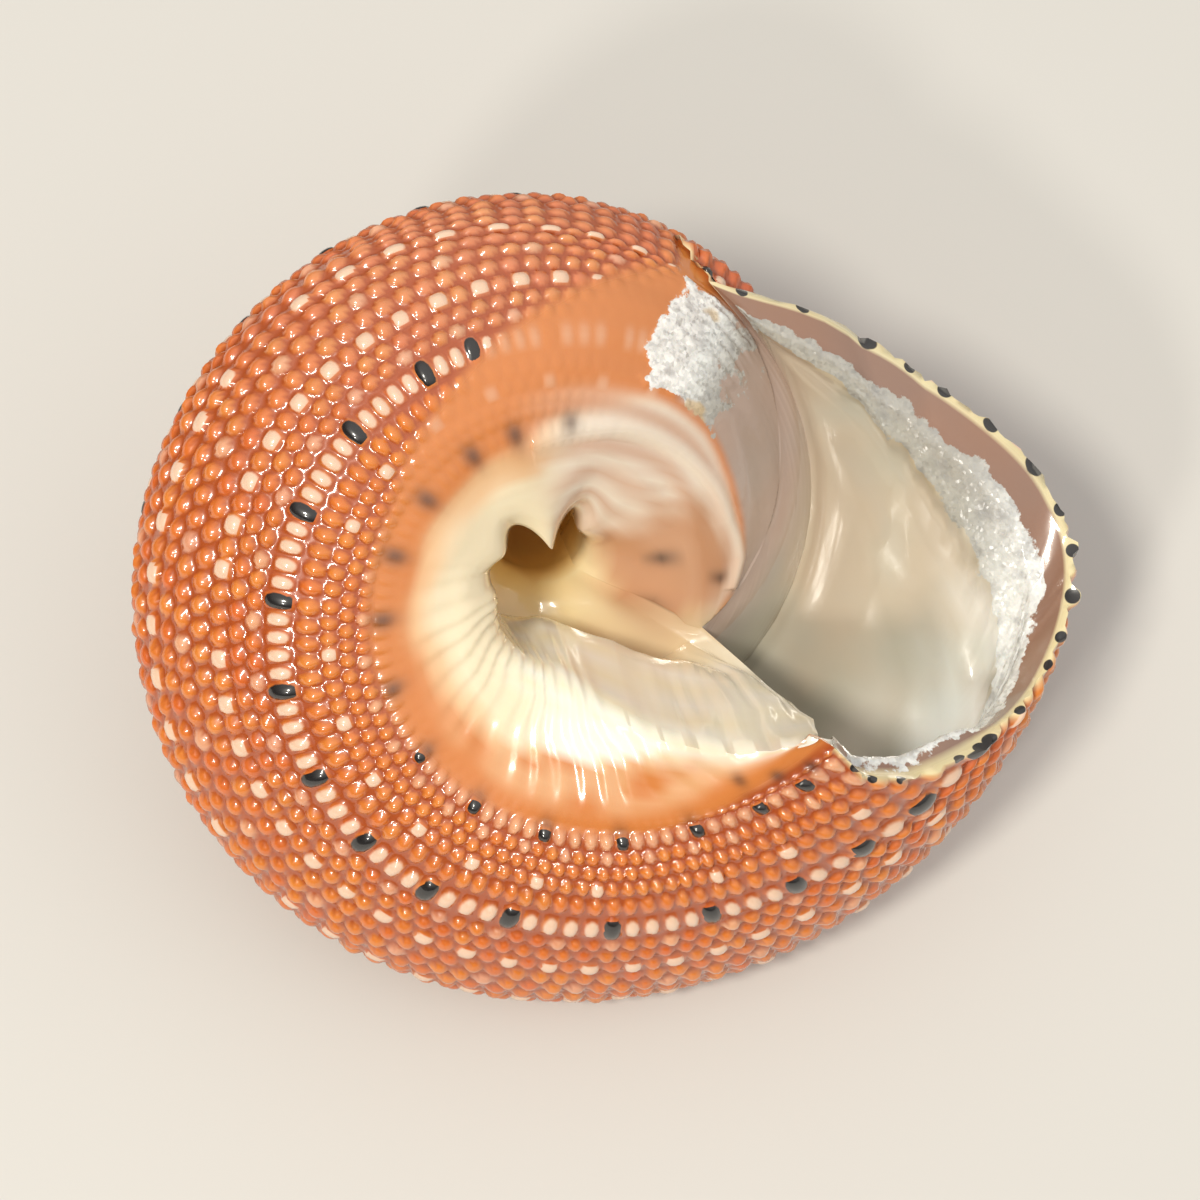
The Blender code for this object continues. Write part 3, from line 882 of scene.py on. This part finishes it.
def make_spire(begin, finish):
    """Earlier whorls between two steps of growth, closed at both ends."""
    spire = Sheet(begin)
    rows = spire_join()
    for row in rows:
        last = begin + SEAM_STEPS - 1 if row == 0.0 else finish
        spire.add_row(row, begin, last)
    for upper, lower in zip(rows[:-1], rows[1:]):
        add_strip(spire, upper, lower, begin, begin, finish)
    inner = [spire.at(0.0, index) for index in range(begin, begin + SEAM_STEPS)]
    first = [spire.at(row, begin) for row in rows]
    tip_depth = TIP_DEPTH * float(growth(np.array(begin * STEP))) * OUTLINE[0][2]
    start = inner + [spire.at(0.0, begin + SEAM_STEPS)] + first[1:-1][::-1]
    add_fan(spire, start, (0.0, 0.0, tip_depth))
    loop = [spire.at(EDGE_ROW, index) for index in range(finish - SEAM_STEPS, finish + 1)]
    loop += [spire.at(row, finish) for row in reversed(rows[1:-1])] + [spire.at(0.0, finish)]
    if loop[-1] == loop[0]:
        loop.pop()
    base_depth = BASE_DEPTH * float(growth(np.array(finish * STEP)) / growth(np.array(0.0)))
    add_fan(spire, loop, (0.0, 0.0, base_depth))
    return spire


# Colours

def colour(red, green, blue):
    """Linear colour from a screen colour of 0 to 255."""
    values = []
    for part in (red, green, blue):
        part /= 255.0
        values.append(part / 12.92 if part <= 0.04045 else ((part + 0.055) / 1.055) ** 2.4)
    return (*values, 1.0)


ORANGE_BEAD = colour(218, 104, 30)
AMBER_BEAD = colour(228, 134, 48)
RED_BEAD = colour(208, 90, 30)
VALLEY = colour(172, 74, 12)
PALE_BEAD = colour(238, 200, 172)
BLACK_BEAD = colour(18, 13, 13)
GLAZE_ORANGE = colour(216, 130, 62)
GLAZE_PEACH = colour(238, 194, 146)
GLAZE_CREAM = colour(246, 230, 196)
PEARL_WHITE = colour(250, 246, 232)
PILLAR_CREAM = colour(246, 234, 192)
SMUDGE = colour(78, 52, 42)
SWIRL_PINK = colour(216, 180, 156)
SWIRL_WHITE = colour(238, 222, 204)
SALMON_WALL = colour(194, 138, 98)
# Amber of the navel floor, raised almost to full brightness as painted light against the shade deep in the
# hole
NAVEL_AMBER_AND_PAINTED_LIGHT = colour(255, 214, 132)
NAVEL_CREAM = colour(246, 228, 184)
RIM_PALE = colour(240, 224, 172)
BEVEL_BROWN = colour(134, 84, 52)
SILVER = colour(184, 182, 174)
SILVER_WHITE = colour(250, 252, 250)
NACRE_BEIGE = colour(184, 168, 138)
NACRE_WHITE = colour(240, 238, 228)
MAUVE = colour(172, 144, 128)
# Brown painted shade for the deep part of the mouth near the start of its loop
PAINTED_SHADE_BROWN = colour(146, 120, 86)
FOLD_PINK = colour(240, 222, 200)
MOTTLE = colour(170, 84, 36)
PEARL_PINK = colour(236, 222, 210)
PEARL_GREEN = colour(212, 226, 226)
SILVER_GREY = colour(158, 158, 158)
GRAIN_GREY = colour(150, 148, 142)
GOLD_FLECK = colour(206, 168, 96)
FLOOR_PALE = colour(214, 212, 208)

# Where the glaze turns from orange to cream, round the turn, and over how many places
CREAM_LIMIT = (
    (60, 8.4), (80, 8.8), (103, 9.5), (130, 9.7), (175, 9.6), (220, 10.1), (262, 10.4), (310, 10.2),
    (330, 9.6),
)
CREAM_WIDTH = ((60, 1.4), (175, 1.3), (240, 0.7), (262, 0.4), (330, 0.3))

# Soft spots seen through the glaze: (turn, place, reach round the turn in mm, reach in places, strength)
SOFT_SPOTS = (
    (-0.8, 9.6, 0.26, 0.14, 0.95), (-26, 9.2, 0.26, 0.16, 0.95), (-8.2, 7.8, 0.20, 0.20, 0.80),
    (329.5, 8.85, 0.14, 0.12, 0.9), (323, 9.12, 0.14, 0.12, 0.8), (315.5, 9.42, 0.14, 0.12, 0.7),
)


def blend(a, b, share):
    """Mix colours, each one colour or one per point."""
    a = np.asarray(a)[..., :3]
    b = np.asarray(b)[..., :3]
    return a + (b - a) * np.asarray(share)[:, None]


def paint_outside(look, points):
    """Colour of the outside: beads, then the glaze over them, then the navel and the pillar."""
    place = look["place"]
    turn = look["turn"]
    row = look["row"]
    cover = look["cover"]
    lively = np.clip(look["share"] + 0.25 * wobble(place * 0.9, turn / 23.0, 0.4), 0.0, 1.0)
    bead = blend(ORANGE_BEAD, AMBER_BEAD, lively)
    bead = blend(bead, RED_BEAD, 0.6 * fall(place, 5.0, 2.0))
    bead = blend(bead, AMBER_BEAD, 0.5 * rise(row, 7.2, 0.6))
    bead = blend(bead, PALE_BEAD, 0.45 * (look["kind"] == FAINT))
    # Beads round turn 105 are paler: partly their own paler colour, partly a painted sheen for the many
    # highlights there
    paler_and_painted_sheen = bump(turn, 105.0, 60.0) * rise(place, 3.5, 1.0) * fall(place, 7.5, 1.0)
    bead = blend(bead, PALE_BEAD, 0.22 * paler_and_painted_sheen)
    skin = blend(VALLEY, bead, smooth(look["dome"] / 0.5))
    inside_limit = place - read_curve(CREAM_LIMIT, turn) + 0.18 * wobble(turn / 33.0, place, 0.9)
    cream = smooth(inside_limit / read_curve(CREAM_WIDTH, turn) + 0.5)
    coat = blend(GLAZE_ORANGE, GLAZE_PEACH, smooth(cream * 2.0))
    coat = blend(coat, GLAZE_CREAM, smooth(cream * 2.0 - 1.0))
    coat = blend(coat, PEARL_WHITE, rise(turn, 235.0, 30.0) * smooth(cream * 2.0 - 1.0))
    peach = rise(turn, 190.0, 60.0) * rise(place, 9.3, 0.4)
    peach = peach * smooth(0.7 + 0.6 * wobble(turn / 21.0, place * 1.3, 2.7))
    coat = blend(coat, GLAZE_PEACH, 0.6 * peach * (1.0 - cream))
    coat = paint_swirl(coat, place, turn)
    spots = smudges(place, turn, look["stage"]) * rise(turn, 70.0, 8.0)
    spots = spots * (1.0 - smooth(cream * 1.5 - 0.6))
    coat = blend(coat, SMUDGE, 0.8 * spots)
    light = np.exp(-1.2 * look["reach"] ** 2) * (look["kind"] == PALE) * (row > 6.7)
    coat = blend(coat, PALE_BEAD, 0.35 * light * (1.0 - cream))
    skin = blend(skin, coat, smooth(cover * 1.6 - 0.2))
    return paint_pillar(skin, look, points)


def smudges(place, turn, stage):
    """Soft dark spots of row 2 under the glaze."""
    black = BEADS[ROW_TWO][0][BEADS[ROW_TWO][2] == BLACK] * STEP
    centre = row_place(CORD_CENTRES[ROW_TWO], stage)
    here = turn - lead(centre, stage)
    nearest = np.clip(np.searchsorted(black, here), 1, len(black) - 1)
    away = np.minimum(np.abs(here - black[nearest]), np.abs(here - black[nearest - 1]))
    scale = growth(turn)
    sideways = np.radians(away) * 5.4 * scale
    return np.exp(-(sideways / 0.20) ** 2 - ((place - centre) * 1.45 * scale / 0.30) ** 2)


def paint_swirl(coat, place, turn):
    """Pink and white bands that sweep from the glaze down into the navel beside the mouth."""
    here = fall(turn, 112.0, 30.0) * (turn > -60.0)
    waves = place * 1.25 - turn / 88.0
    bands = 0.5 + 0.5 * np.sin(2.0 * math.pi * waves + 0.8 * wobble(turn / 50.0, place * 0.7, 2.2))
    swirl = blend(SWIRL_PINK, SWIRL_WHITE, bands)
    width = 0.45 + 1.3 * rise(turn, 58.0, 40.0)
    coat = blend(coat, swirl, here * smooth((place - read_curve(PEARL_LIMIT, turn)) / width))
    uneven = 5.0 * wobble(place * 0.5, turn / 30.0, 3.3)
    inner = smooth((40.0 - turn + uneven) / 26.0) * rise(turn, -75.0, 20.0)
    wall = inner * smooth((place - read_curve(RIDGE, turn) - 0.15) / 0.5)
    coat = blend(coat, SALMON_WALL, 0.92 * wall)
    yellow = fall(turn, -14.0, 14.0) * fall(place, 8.6, 0.8) * (turn > -75.0)
    coat = blend(coat, NAVEL_CREAM, 0.6 * yellow)
    crest = bump(place, read_curve(RIDGE, turn), 0.30) * fall(turn, 100.0, 20.0) * rise(turn, -20.0, 14.0)
    return blend(coat, SWIRL_WHITE, 0.8 * crest)


def paint_pillar(skin, look, points):
    """Cream pillar with fanned creases, and gold deep in the navel: its amber colour, brightened as painted
    light against the shade there.
    """
    row = look["row"]
    stage = look["stage"]
    radius = np.hypot(points[:, 0], points[:, 1])
    deep = fall(points[:, 2], 9.6, 4.0) * fall(radius, 3.4, 0.9) * (look["zone"] < 0.5)
    deep = deep * (row > NAVEL_FIRST_ROW)
    to_right = to_world(points)[:, 0] * 1000.0 - CENTRE_SHIFT[0]
    deep = deep * fall(to_right, NAVEL_GOLD_END, 0.8)
    skin = blend(skin, NAVEL_CREAM, smooth(deep * 3.0))
    # Painted light: deepest in the navel the amber colour is brightened to lift the shade of the hole
    skin = blend(skin, NAVEL_AMBER_AND_PAINTED_LIGHT, smooth(deep * 1.8 - 0.4))
    pillar = rise(row, 10.6, 1.8) * rise(stage, 232.0, 30.0)
    fans = 0.7 + 0.3 * np.sin(row * 9.0 + stage / 7.0)
    cream = blend(PILLAR_CREAM, PEARL_WHITE, fans)
    return blend(skin, cream, pillar)


def paint_hollow(look):
    """Colour inside the mouth, distance inside the ledge's edge, and 1 behind the ledge."""
    along = look["along"]
    depth = look["depth"]
    bevel_end = read_curve(BEVEL_END, along) * (1.0 + 0.10 * wobble(along * 1.3, along * 0.4, 2.6))
    ledge_end = read_curve(LEDGE_END, along) + 0.6 * LEDGE_JAG * wobble(along * 1.7, along * 3.1, 1.7)
    foot = rise(along, 8.6, 1.2)
    margin = 0.15 * np.minimum(depth - bevel_end, ledge_end - depth) - 2.0 * foot
    skin = blend(RIM_PALE, BEVEL_BROWN, rise(depth, 0.3, 0.8))
    right = rise(along, 1.3, 1.5)
    waves = along * 0.45 + depth / 10.0
    bands = 0.5 + 0.5 * np.sin(2.0 * math.pi * waves + 1.4 * wobble(along * 0.8, depth / 40.0, 1.9))
    nacre = blend(NACRE_BEIGE, NACRE_WHITE, (0.2 + 0.8 * bands) * right)
    # Painted shade: the nacre near the start of the mouth loop is darkened to brown where the deep inside
    # of the mouth lies in shade
    nacre = blend(nacre, PAINTED_SHADE_BROWN, 0.75 * fall(along, 1.1, 0.7))
    nacre = blend(nacre, NACRE_BEIGE, 0.8 * rise(depth, 50.0, 40.0))
    nacre = blend(nacre, FOLD_PINK, 0.8 * bump(along, 1.9, 0.9) * rise(depth, 42.0, 10.0))
    # Painted highlight: a bright silver-white streak on the nacre about 34 degrees inside the mouth
    painted_highlight = bump(depth, 34.0, 18.0) * rise(along, 1.9, 0.9) * fall(along, 6.0, 1.5)
    painted_highlight = painted_highlight * smooth(0.4 + 0.8 * wobble(along * 0.7, depth / 9.0, 4.1))
    nacre = blend(nacre, SILVER_WHITE, 0.8 * painted_highlight)
    skin = blend(skin, nacre, smooth((depth - 0.5 * (bevel_end + ledge_end)) / 2.0 + 0.5))
    inner_foot = blend(PEARL_WHITE, NACRE_BEIGE, rise(depth, 6.0, 40.0))
    skin = blend(skin, inner_foot, foot)
    back = rise(along, 14.6, 0.8)
    wall = blend(MAUVE, NACRE_BEIGE, smooth(depth / 60.0))
    skin = blend(skin, wall, back)
    return skin, margin, smooth((depth - ledge_end) / 2.0)


def spot_share(look, inside):
    """Soft spots seen through the glaze."""
    place = look["place"]
    turn = look["turn"]
    share = np.zeros(len(place))
    scale = growth(turn)
    distance_out = outline_point(place, look["stage"])[0][:, 0]
    for spot_turn, spot_place, reach_round, reach_places, strength in SOFT_SPOTS:
        sideways = np.radians(turn - spot_turn) * scale * distance_out / reach_round
        across = (place - spot_place) / reach_places
        share = np.maximum(share, strength * np.exp(-sideways ** 2 - across ** 2))
    return share * ~inside


def bead_margin(look, kind):
    """Above 0 inside the beads of a kind that show, -1 or less elsewhere."""
    covered = 2.0 * (1.0 - fall(look["cover"], 0.7, 0.3))
    margin = np.where(look["kind"] == kind, 1.0 - look["reach"], -1.0) - covered
    return np.where(look["zone"] > 0.5, -1.0, margin)


def paint(sheet):
    """Colour and other looks of every point."""
    points = sheet.all_points()
    look = {name: sheet.look(name) for name in LOOKS}
    place = look["place"]
    turn = look["turn"]
    inside = look["zone"] > 0.5
    hollow, ledge, deep = paint_hollow(look)
    skin = np.where(inside[:, None], hollow, paint_outside(look, points))
    behind = smooth((read_curve(PEARL_LIMIT, turn) - place) / 0.3 + 0.5)
    behind = behind * fall(turn, 60.0, 6.0) * rise(turn, -18.0, 6.0)
    behind = behind * rise(place, 4.9, 0.5) * (look["stage"] < 100.0) * ~inside
    skin = blend(skin, MAUVE, behind)
    rim = rise(look["stage"], 359.1, 0.6) * ~inside * (look["row"] < 9.3)
    skin = blend(skin, RIM_PALE, rim)
    skin = blend(skin, SMUDGE, spot_share(look, inside))
    fields = {
        "dark": bead_margin(look, BLACK),
        "pale": bead_margin(look, PALE),
        "crystal": np.where(inside, ledge, patch_margin(place, turn)),
        "white": np.where(inside, rise(look["along"], 1.8, 1.2), rise(turn, 46.0, 12.0)),
        "pearl": np.maximum(np.where(inside, np.maximum(deep, 0.4), 0.0), 0.5 * behind),
        "cover": np.where(inside, 1.0, look["cover"]),
    }
    return skin, fields


# Meshes

def resting_pose():
    """Turns the coil's own frame to the way the shell lies."""
    slope = math.radians(REST_SLOPE)
    turn = math.radians(REST_TURN)
    axis = Vector((0.0, -math.cos(slope), math.sin(slope)))
    down = Vector((0.0, -math.sin(slope), -math.cos(slope)))
    side = Vector((1.0, 0.0, 0.0))
    local_x = down * math.cos(turn) - side * math.sin(turn)
    local_y = down * math.sin(turn) + side * math.cos(turn)
    return Matrix((local_x, local_y, axis)).transposed()


POSE = resting_pose()


def to_world(points):
    """From the coil's own frame in mm to the row frame in metres, with the worn flat on the ground."""
    world = points @ np.array(POSE).T
    world[:, 0] += CENTRE_SHIFT[0]
    world[:, 1] += CENTRE_SHIFT[1]
    world[:, 2] = np.maximum(world[:, 2], 0.0)
    return world * 0.001


def make_object(name, sheet, material):
    mesh = bpy.data.meshes.new(name)
    mesh.from_pydata(to_world(sheet.all_points()).tolist(), [], sheet.faces)
    skin, fields = paint(sheet)
    attribute = mesh.attributes.new("skin", "FLOAT_COLOR", "POINT")
    opaque = np.column_stack((skin, np.ones(len(skin))))
    attribute.data.foreach_set("color", opaque.astype(np.float32).ravel())
    for field, values in fields.items():
        attribute = mesh.attributes.new(field, "FLOAT", "POINT")
        attribute.data.foreach_set("value", values.astype(np.float32))
    work = bmesh.new()
    work.from_mesh(mesh)
    bmesh.ops.triangulate(work, faces=work.faces[:])
    bmesh.ops.recalc_face_normals(work, faces=work.faces[:])
    work.to_mesh(mesh)
    work.free()
    mesh.materials.append(material)
    mesh.shade_smooth()
    mesh.set_sharp_from_angle(angle=math.radians(SHARP_ANGLE))
    piece = bpy.data.objects.new(name, mesh)
    bpy.context.scene.collection.objects.link(piece)
    return piece


# Materials

class Nodes:
    """Small helper to write a node tree as sums."""

    def __init__(self, tree):
        self.tree = tree

    def new(self, kind, **settings):
        node = self.tree.nodes.new(kind)
        for key, value in settings.items():
            setattr(node, key, value)
        return node

    def link(self, value, socket):
        if isinstance(value, bpy.types.NodeSocket):
            self.tree.links.new(value, socket)
        else:
            socket.default_value = value

    def attribute(self, name, output="Fac"):
        return self.new("ShaderNodeAttribute", attribute_name=name).outputs[output]

    def place(self, output="Object"):
        return self.new("ShaderNodeTexCoord").outputs[output]

    def math(self, operation, a, b):
        node = self.new("ShaderNodeMath", operation=operation)
        self.link(a, node.inputs[0])
        self.link(b, node.inputs[1])
        return node.outputs[0]

    def times(self, a, b):
        return self.math("MULTIPLY", a, b)

    def less(self, a, b):
        return self.math("SUBTRACT", a, b)

    def vector(self, operation, a, b=None):
        node = self.new("ShaderNodeVectorMath", operation=operation)
        self.link(a, node.inputs[0])
        if b is not None:
            self.link(b, node.inputs["Scale" if operation == "SCALE" else 1])
        return node.outputs["Value" if operation in ("DISTANCE", "DOT_PRODUCT") else "Vector"]

    def step(self, value, low, high, bottom=0.0, top=1.0):
        """From bottom at low to top at high, smooth between."""
        node = self.new("ShaderNodeMapRange", interpolation_type="SMOOTHSTEP")
        self.link(value, node.inputs["Value"])
        settings = {"From Min": low, "From Max": high, "To Min": bottom, "To Max": top}
        for name, setting in settings.items():
            node.inputs[name].default_value = setting
        return node.outputs["Result"]

    def mix(self, share, a, b):
        node = self.new("ShaderNodeMix", data_type="RGBA")
        self.link(share, node.inputs["Factor"])
        self.link(a, node.inputs["A"])
        self.link(b, node.inputs["B"])
        return [s for s in node.outputs if s.type == "RGBA"][0]

    def speckle(self, under, value, low, high, share, tone):
        """Mix in a tone where a value is high."""
        return self.mix(self.times(self.step(value, low, high), share), under, tone)

    def noise(self, scale, detail=2.0, roughness=0.5):
        node = self.new("ShaderNodeTexNoise")
        node.inputs["Scale"].default_value = scale
        node.inputs["Detail"].default_value = detail
        node.inputs["Roughness"].default_value = roughness
        self.link(self.place(), node.inputs["Vector"])
        return node.outputs["Fac"]


def spot_mask(n):
    """1 in the round spots of the lip."""
    index = np.array([LAST_INDEX])
    place = n.place()
    nearest = 1.0
    for row, radius in RIM_SPOTS:
        centre = to_world(outside_points(row, index)[0])[0]
        away = n.math("DIVIDE", n.vector("DISTANCE", place, tuple(centre)), 0.001 * radius)
        nearest = n.math("MINIMUM", away, nearest)
    return n.step(nearest, 0.86, 1.0, 1.0, 0.0)


def silver_colour(n, cells):
    """Grey to white crystals, with darker grains and a few golden flecks."""
    grain = n.new("ShaderNodeSeparateColor")
    n.link(cells, grain.inputs[0])
    silver = n.mix(n.attribute("white"), SILVER, SILVER_WHITE)
    silver = n.speckle(silver, n.noise(2600.0, 3.0), 0.45, 0.70, 0.5, SILVER_GREY)
    silver = n.speckle(silver, grain.outputs[0], 0.2, 0.9, 0.12, GRAIN_GREY)
    return n.speckle(silver, n.noise(700.0, 3.0), 0.64, 0.70, 0.6, GOLD_FLECK)


def skin_colour(n, cover, crystal, cells):
    """Painted skin with mottling, pale beads, the gleam of the nacre, crystals and dark spots."""
    mottle = n.less(0.20, n.times(cover, 0.18))
    skin = n.speckle(n.attribute("skin", "Color"), n.noise(900.0, 3.0), 0.35, 0.75, mottle, MOTTLE)
    skin = n.mix(n.step(n.attribute("pale"), 0.0, 0.34), skin, PALE_BEAD)
    gleam = n.mix(n.step(n.noise(260.0, 2.0, 0.6), 0.38, 0.62), PEARL_PINK, PEARL_GREEN)
    skin = n.mix(n.times(n.attribute("pearl"), 0.28), skin, gleam)
    skin = n.mix(n.times(crystal, 0.92), skin, silver_colour(n, cells))
    black = n.math("MAXIMUM", n.step(n.attribute("dark"), 0.04, 0.20), spot_mask(n))
    return n.mix(black, skin, BLACK_BEAD)


def grain_normal(n, crystal, cells):
    """Facets on the crystals, a faint unevenness elsewhere."""
    facets = n.vector("SCALE", n.vector("SUBTRACT", cells, (0.5, 0.5, 0.5)), n.times(crystal, 0.5))
    fine = n.new("ShaderNodeBump")
    fine.inputs["Distance"].default_value = FINE_RELIEF
    n.link(n.times(n.less(1.0, crystal), 0.22), fine.inputs["Strength"])
    n.link(n.noise(1500.0), fine.inputs["Height"])
    return n.vector("NORMALIZE", n.vector("ADD", fine.outputs["Normal"], facets))


def shell_material():
    material = bpy.data.materials.new("beaded_shell")
    material.use_nodes = True
    n = Nodes(material.node_tree)
    shader = n.tree.nodes["Principled BSDF"]
    cover = n.attribute("cover")
    edge = n.times(n.less(n.noise(1500.0, 5.0, 0.6), 0.5), 1.1)
    crystal = n.step(n.math("ADD", n.attribute("crystal"), edge), -0.02, 0.04)
    voronoi = n.new("ShaderNodeTexVoronoi", feature="F1")
    voronoi.inputs["Scale"].default_value = 13000.0
    n.link(n.place(), voronoi.inputs["Vector"])
    cells = voronoi.outputs["Color"]
    n.link(skin_colour(n, cover, crystal, cells), shader.inputs["Base Color"])
    n.link(grain_normal(n, crystal, cells), shader.inputs["Normal"])
    n.link(n.less(0.34, n.times(cover, 0.10)), shader.inputs["Roughness"])
    shader.inputs["Coat Weight"].default_value = 1.0
    shader.inputs["Coat Roughness"].default_value = 0.08
    shader.inputs["Coat IOR"].default_value = 1.6
    shader.inputs["Subsurface Weight"].default_value = 0.10
    shader.inputs["Subsurface Radius"].default_value = (1.0, 0.75, 0.5)
    shader.inputs["Subsurface Scale"].default_value = 0.0006
    return material


# Stage

def add_floor():
    bpy.ops.mesh.primitive_plane_add(size=1.2, location=(0.0, 0.0, 0.0))
    floor = bpy.context.active_object
    floor.name = "floor"
    material = bpy.data.materials.new("floor_pale")
    material.use_nodes = True
    shader = material.node_tree.nodes["Principled BSDF"]
    shader.inputs["Base Color"].default_value = FLOOR_PALE
    shader.inputs["Roughness"].default_value = 0.8
    floor.data.materials.append(material)


def add_light(name, direction, size, power, tint):
    """Area light facing the shell from a direction (azimuth, elevation) in degrees."""
    toward = facing(direction)
    light = bpy.data.lights.new(name, "AREA")
    light.shape = "DISK"
    light.size = size
    light.energy = power
    light.color = tint
    lamp = bpy.data.objects.new(name, light)
    lamp.location = toward * LIGHT_DISTANCE + Vector((0.0, 0.0, LIGHT_AIM))
    lamp.rotation_euler = toward.to_track_quat("Z", "Y").to_euler()
    bpy.context.scene.collection.objects.link(lamp)


def facing(direction):
    """Unit vector towards an azimuth and elevation in degrees."""
    azimuth = math.radians(direction[0])
    elevation = math.radians(direction[1])
    flat = math.cos(elevation)
    return Vector((flat * math.cos(azimuth), flat * math.sin(azimuth), math.sin(elevation)))


def add_world():
    """Soft room light that swells smoothly towards one side."""
    world = bpy.data.worlds.new("studio")
    bpy.context.scene.world = world
    world.use_nodes = True
    n = Nodes(world.node_tree)
    background = n.tree.nodes["Background"]
    background.inputs["Color"].default_value = ROOM_TINT
    toward = n.vector("DOT_PRODUCT", n.place("Generated"), facing(ROOM_SIDE))
    n.link(n.step(toward, ROOM_START, 1.0, ROOM_DARK, ROOM_BRIGHT), background.inputs["Strength"])


def add_camera():
    """The photo's view, worked out in the coil's own frame."""
    around = math.radians(VIEW_AROUND)
    axis = Vector((-math.sin(around), math.cos(around), 0.0))
    view = Matrix.Rotation(math.radians(-VIEW_TILT), 3, axis)
    turned = POSE @ view.transposed()
    centre = POSE @ Vector((0.0, 0.0, VIEW_AIM / PIXELS_PER_MM)) + Vector((*CENTRE_SHIFT, 0.0))
    place = centre + turned @ Vector((0.0, 0.0, VIEW_PIXELS / PIXELS_PER_MM))
    data = bpy.data.cameras.new("photo_view")
    data.sensor_width = SENSOR
    data.lens = SENSOR * VIEW_PIXELS / PHOTO_PIXELS
    data.shift_x = VIEW_SHIFT[0] / PHOTO_PIXELS
    data.shift_y = VIEW_SHIFT[1] / PHOTO_PIXELS
    data.clip_start = 0.001
    camera = bpy.data.objects.new("photo_view", data)
    camera.location = place * 0.001
    camera.rotation_euler = turned.to_euler()
    bpy.context.scene.collection.objects.link(camera)
    bpy.context.scene.camera = camera


material = shell_material()
shell_body = make_object("shell_body", make_body(), material)
shell_spire = make_object("shell_spire", make_spire(-SPIRE_SPLIT, 0), material)
shell_tip = make_object("shell_tip", make_spire(FIRST_INDEX, -SPIRE_SPLIT), material)
for piece in (shell_body, shell_spire, shell_tip):
    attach(piece, "root")
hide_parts("shell")
add_floor()
for light in LIGHTS:
    add_light(*light)
add_world()
add_camera()
bpy.context.scene.view_settings.view_transform = "Standard"
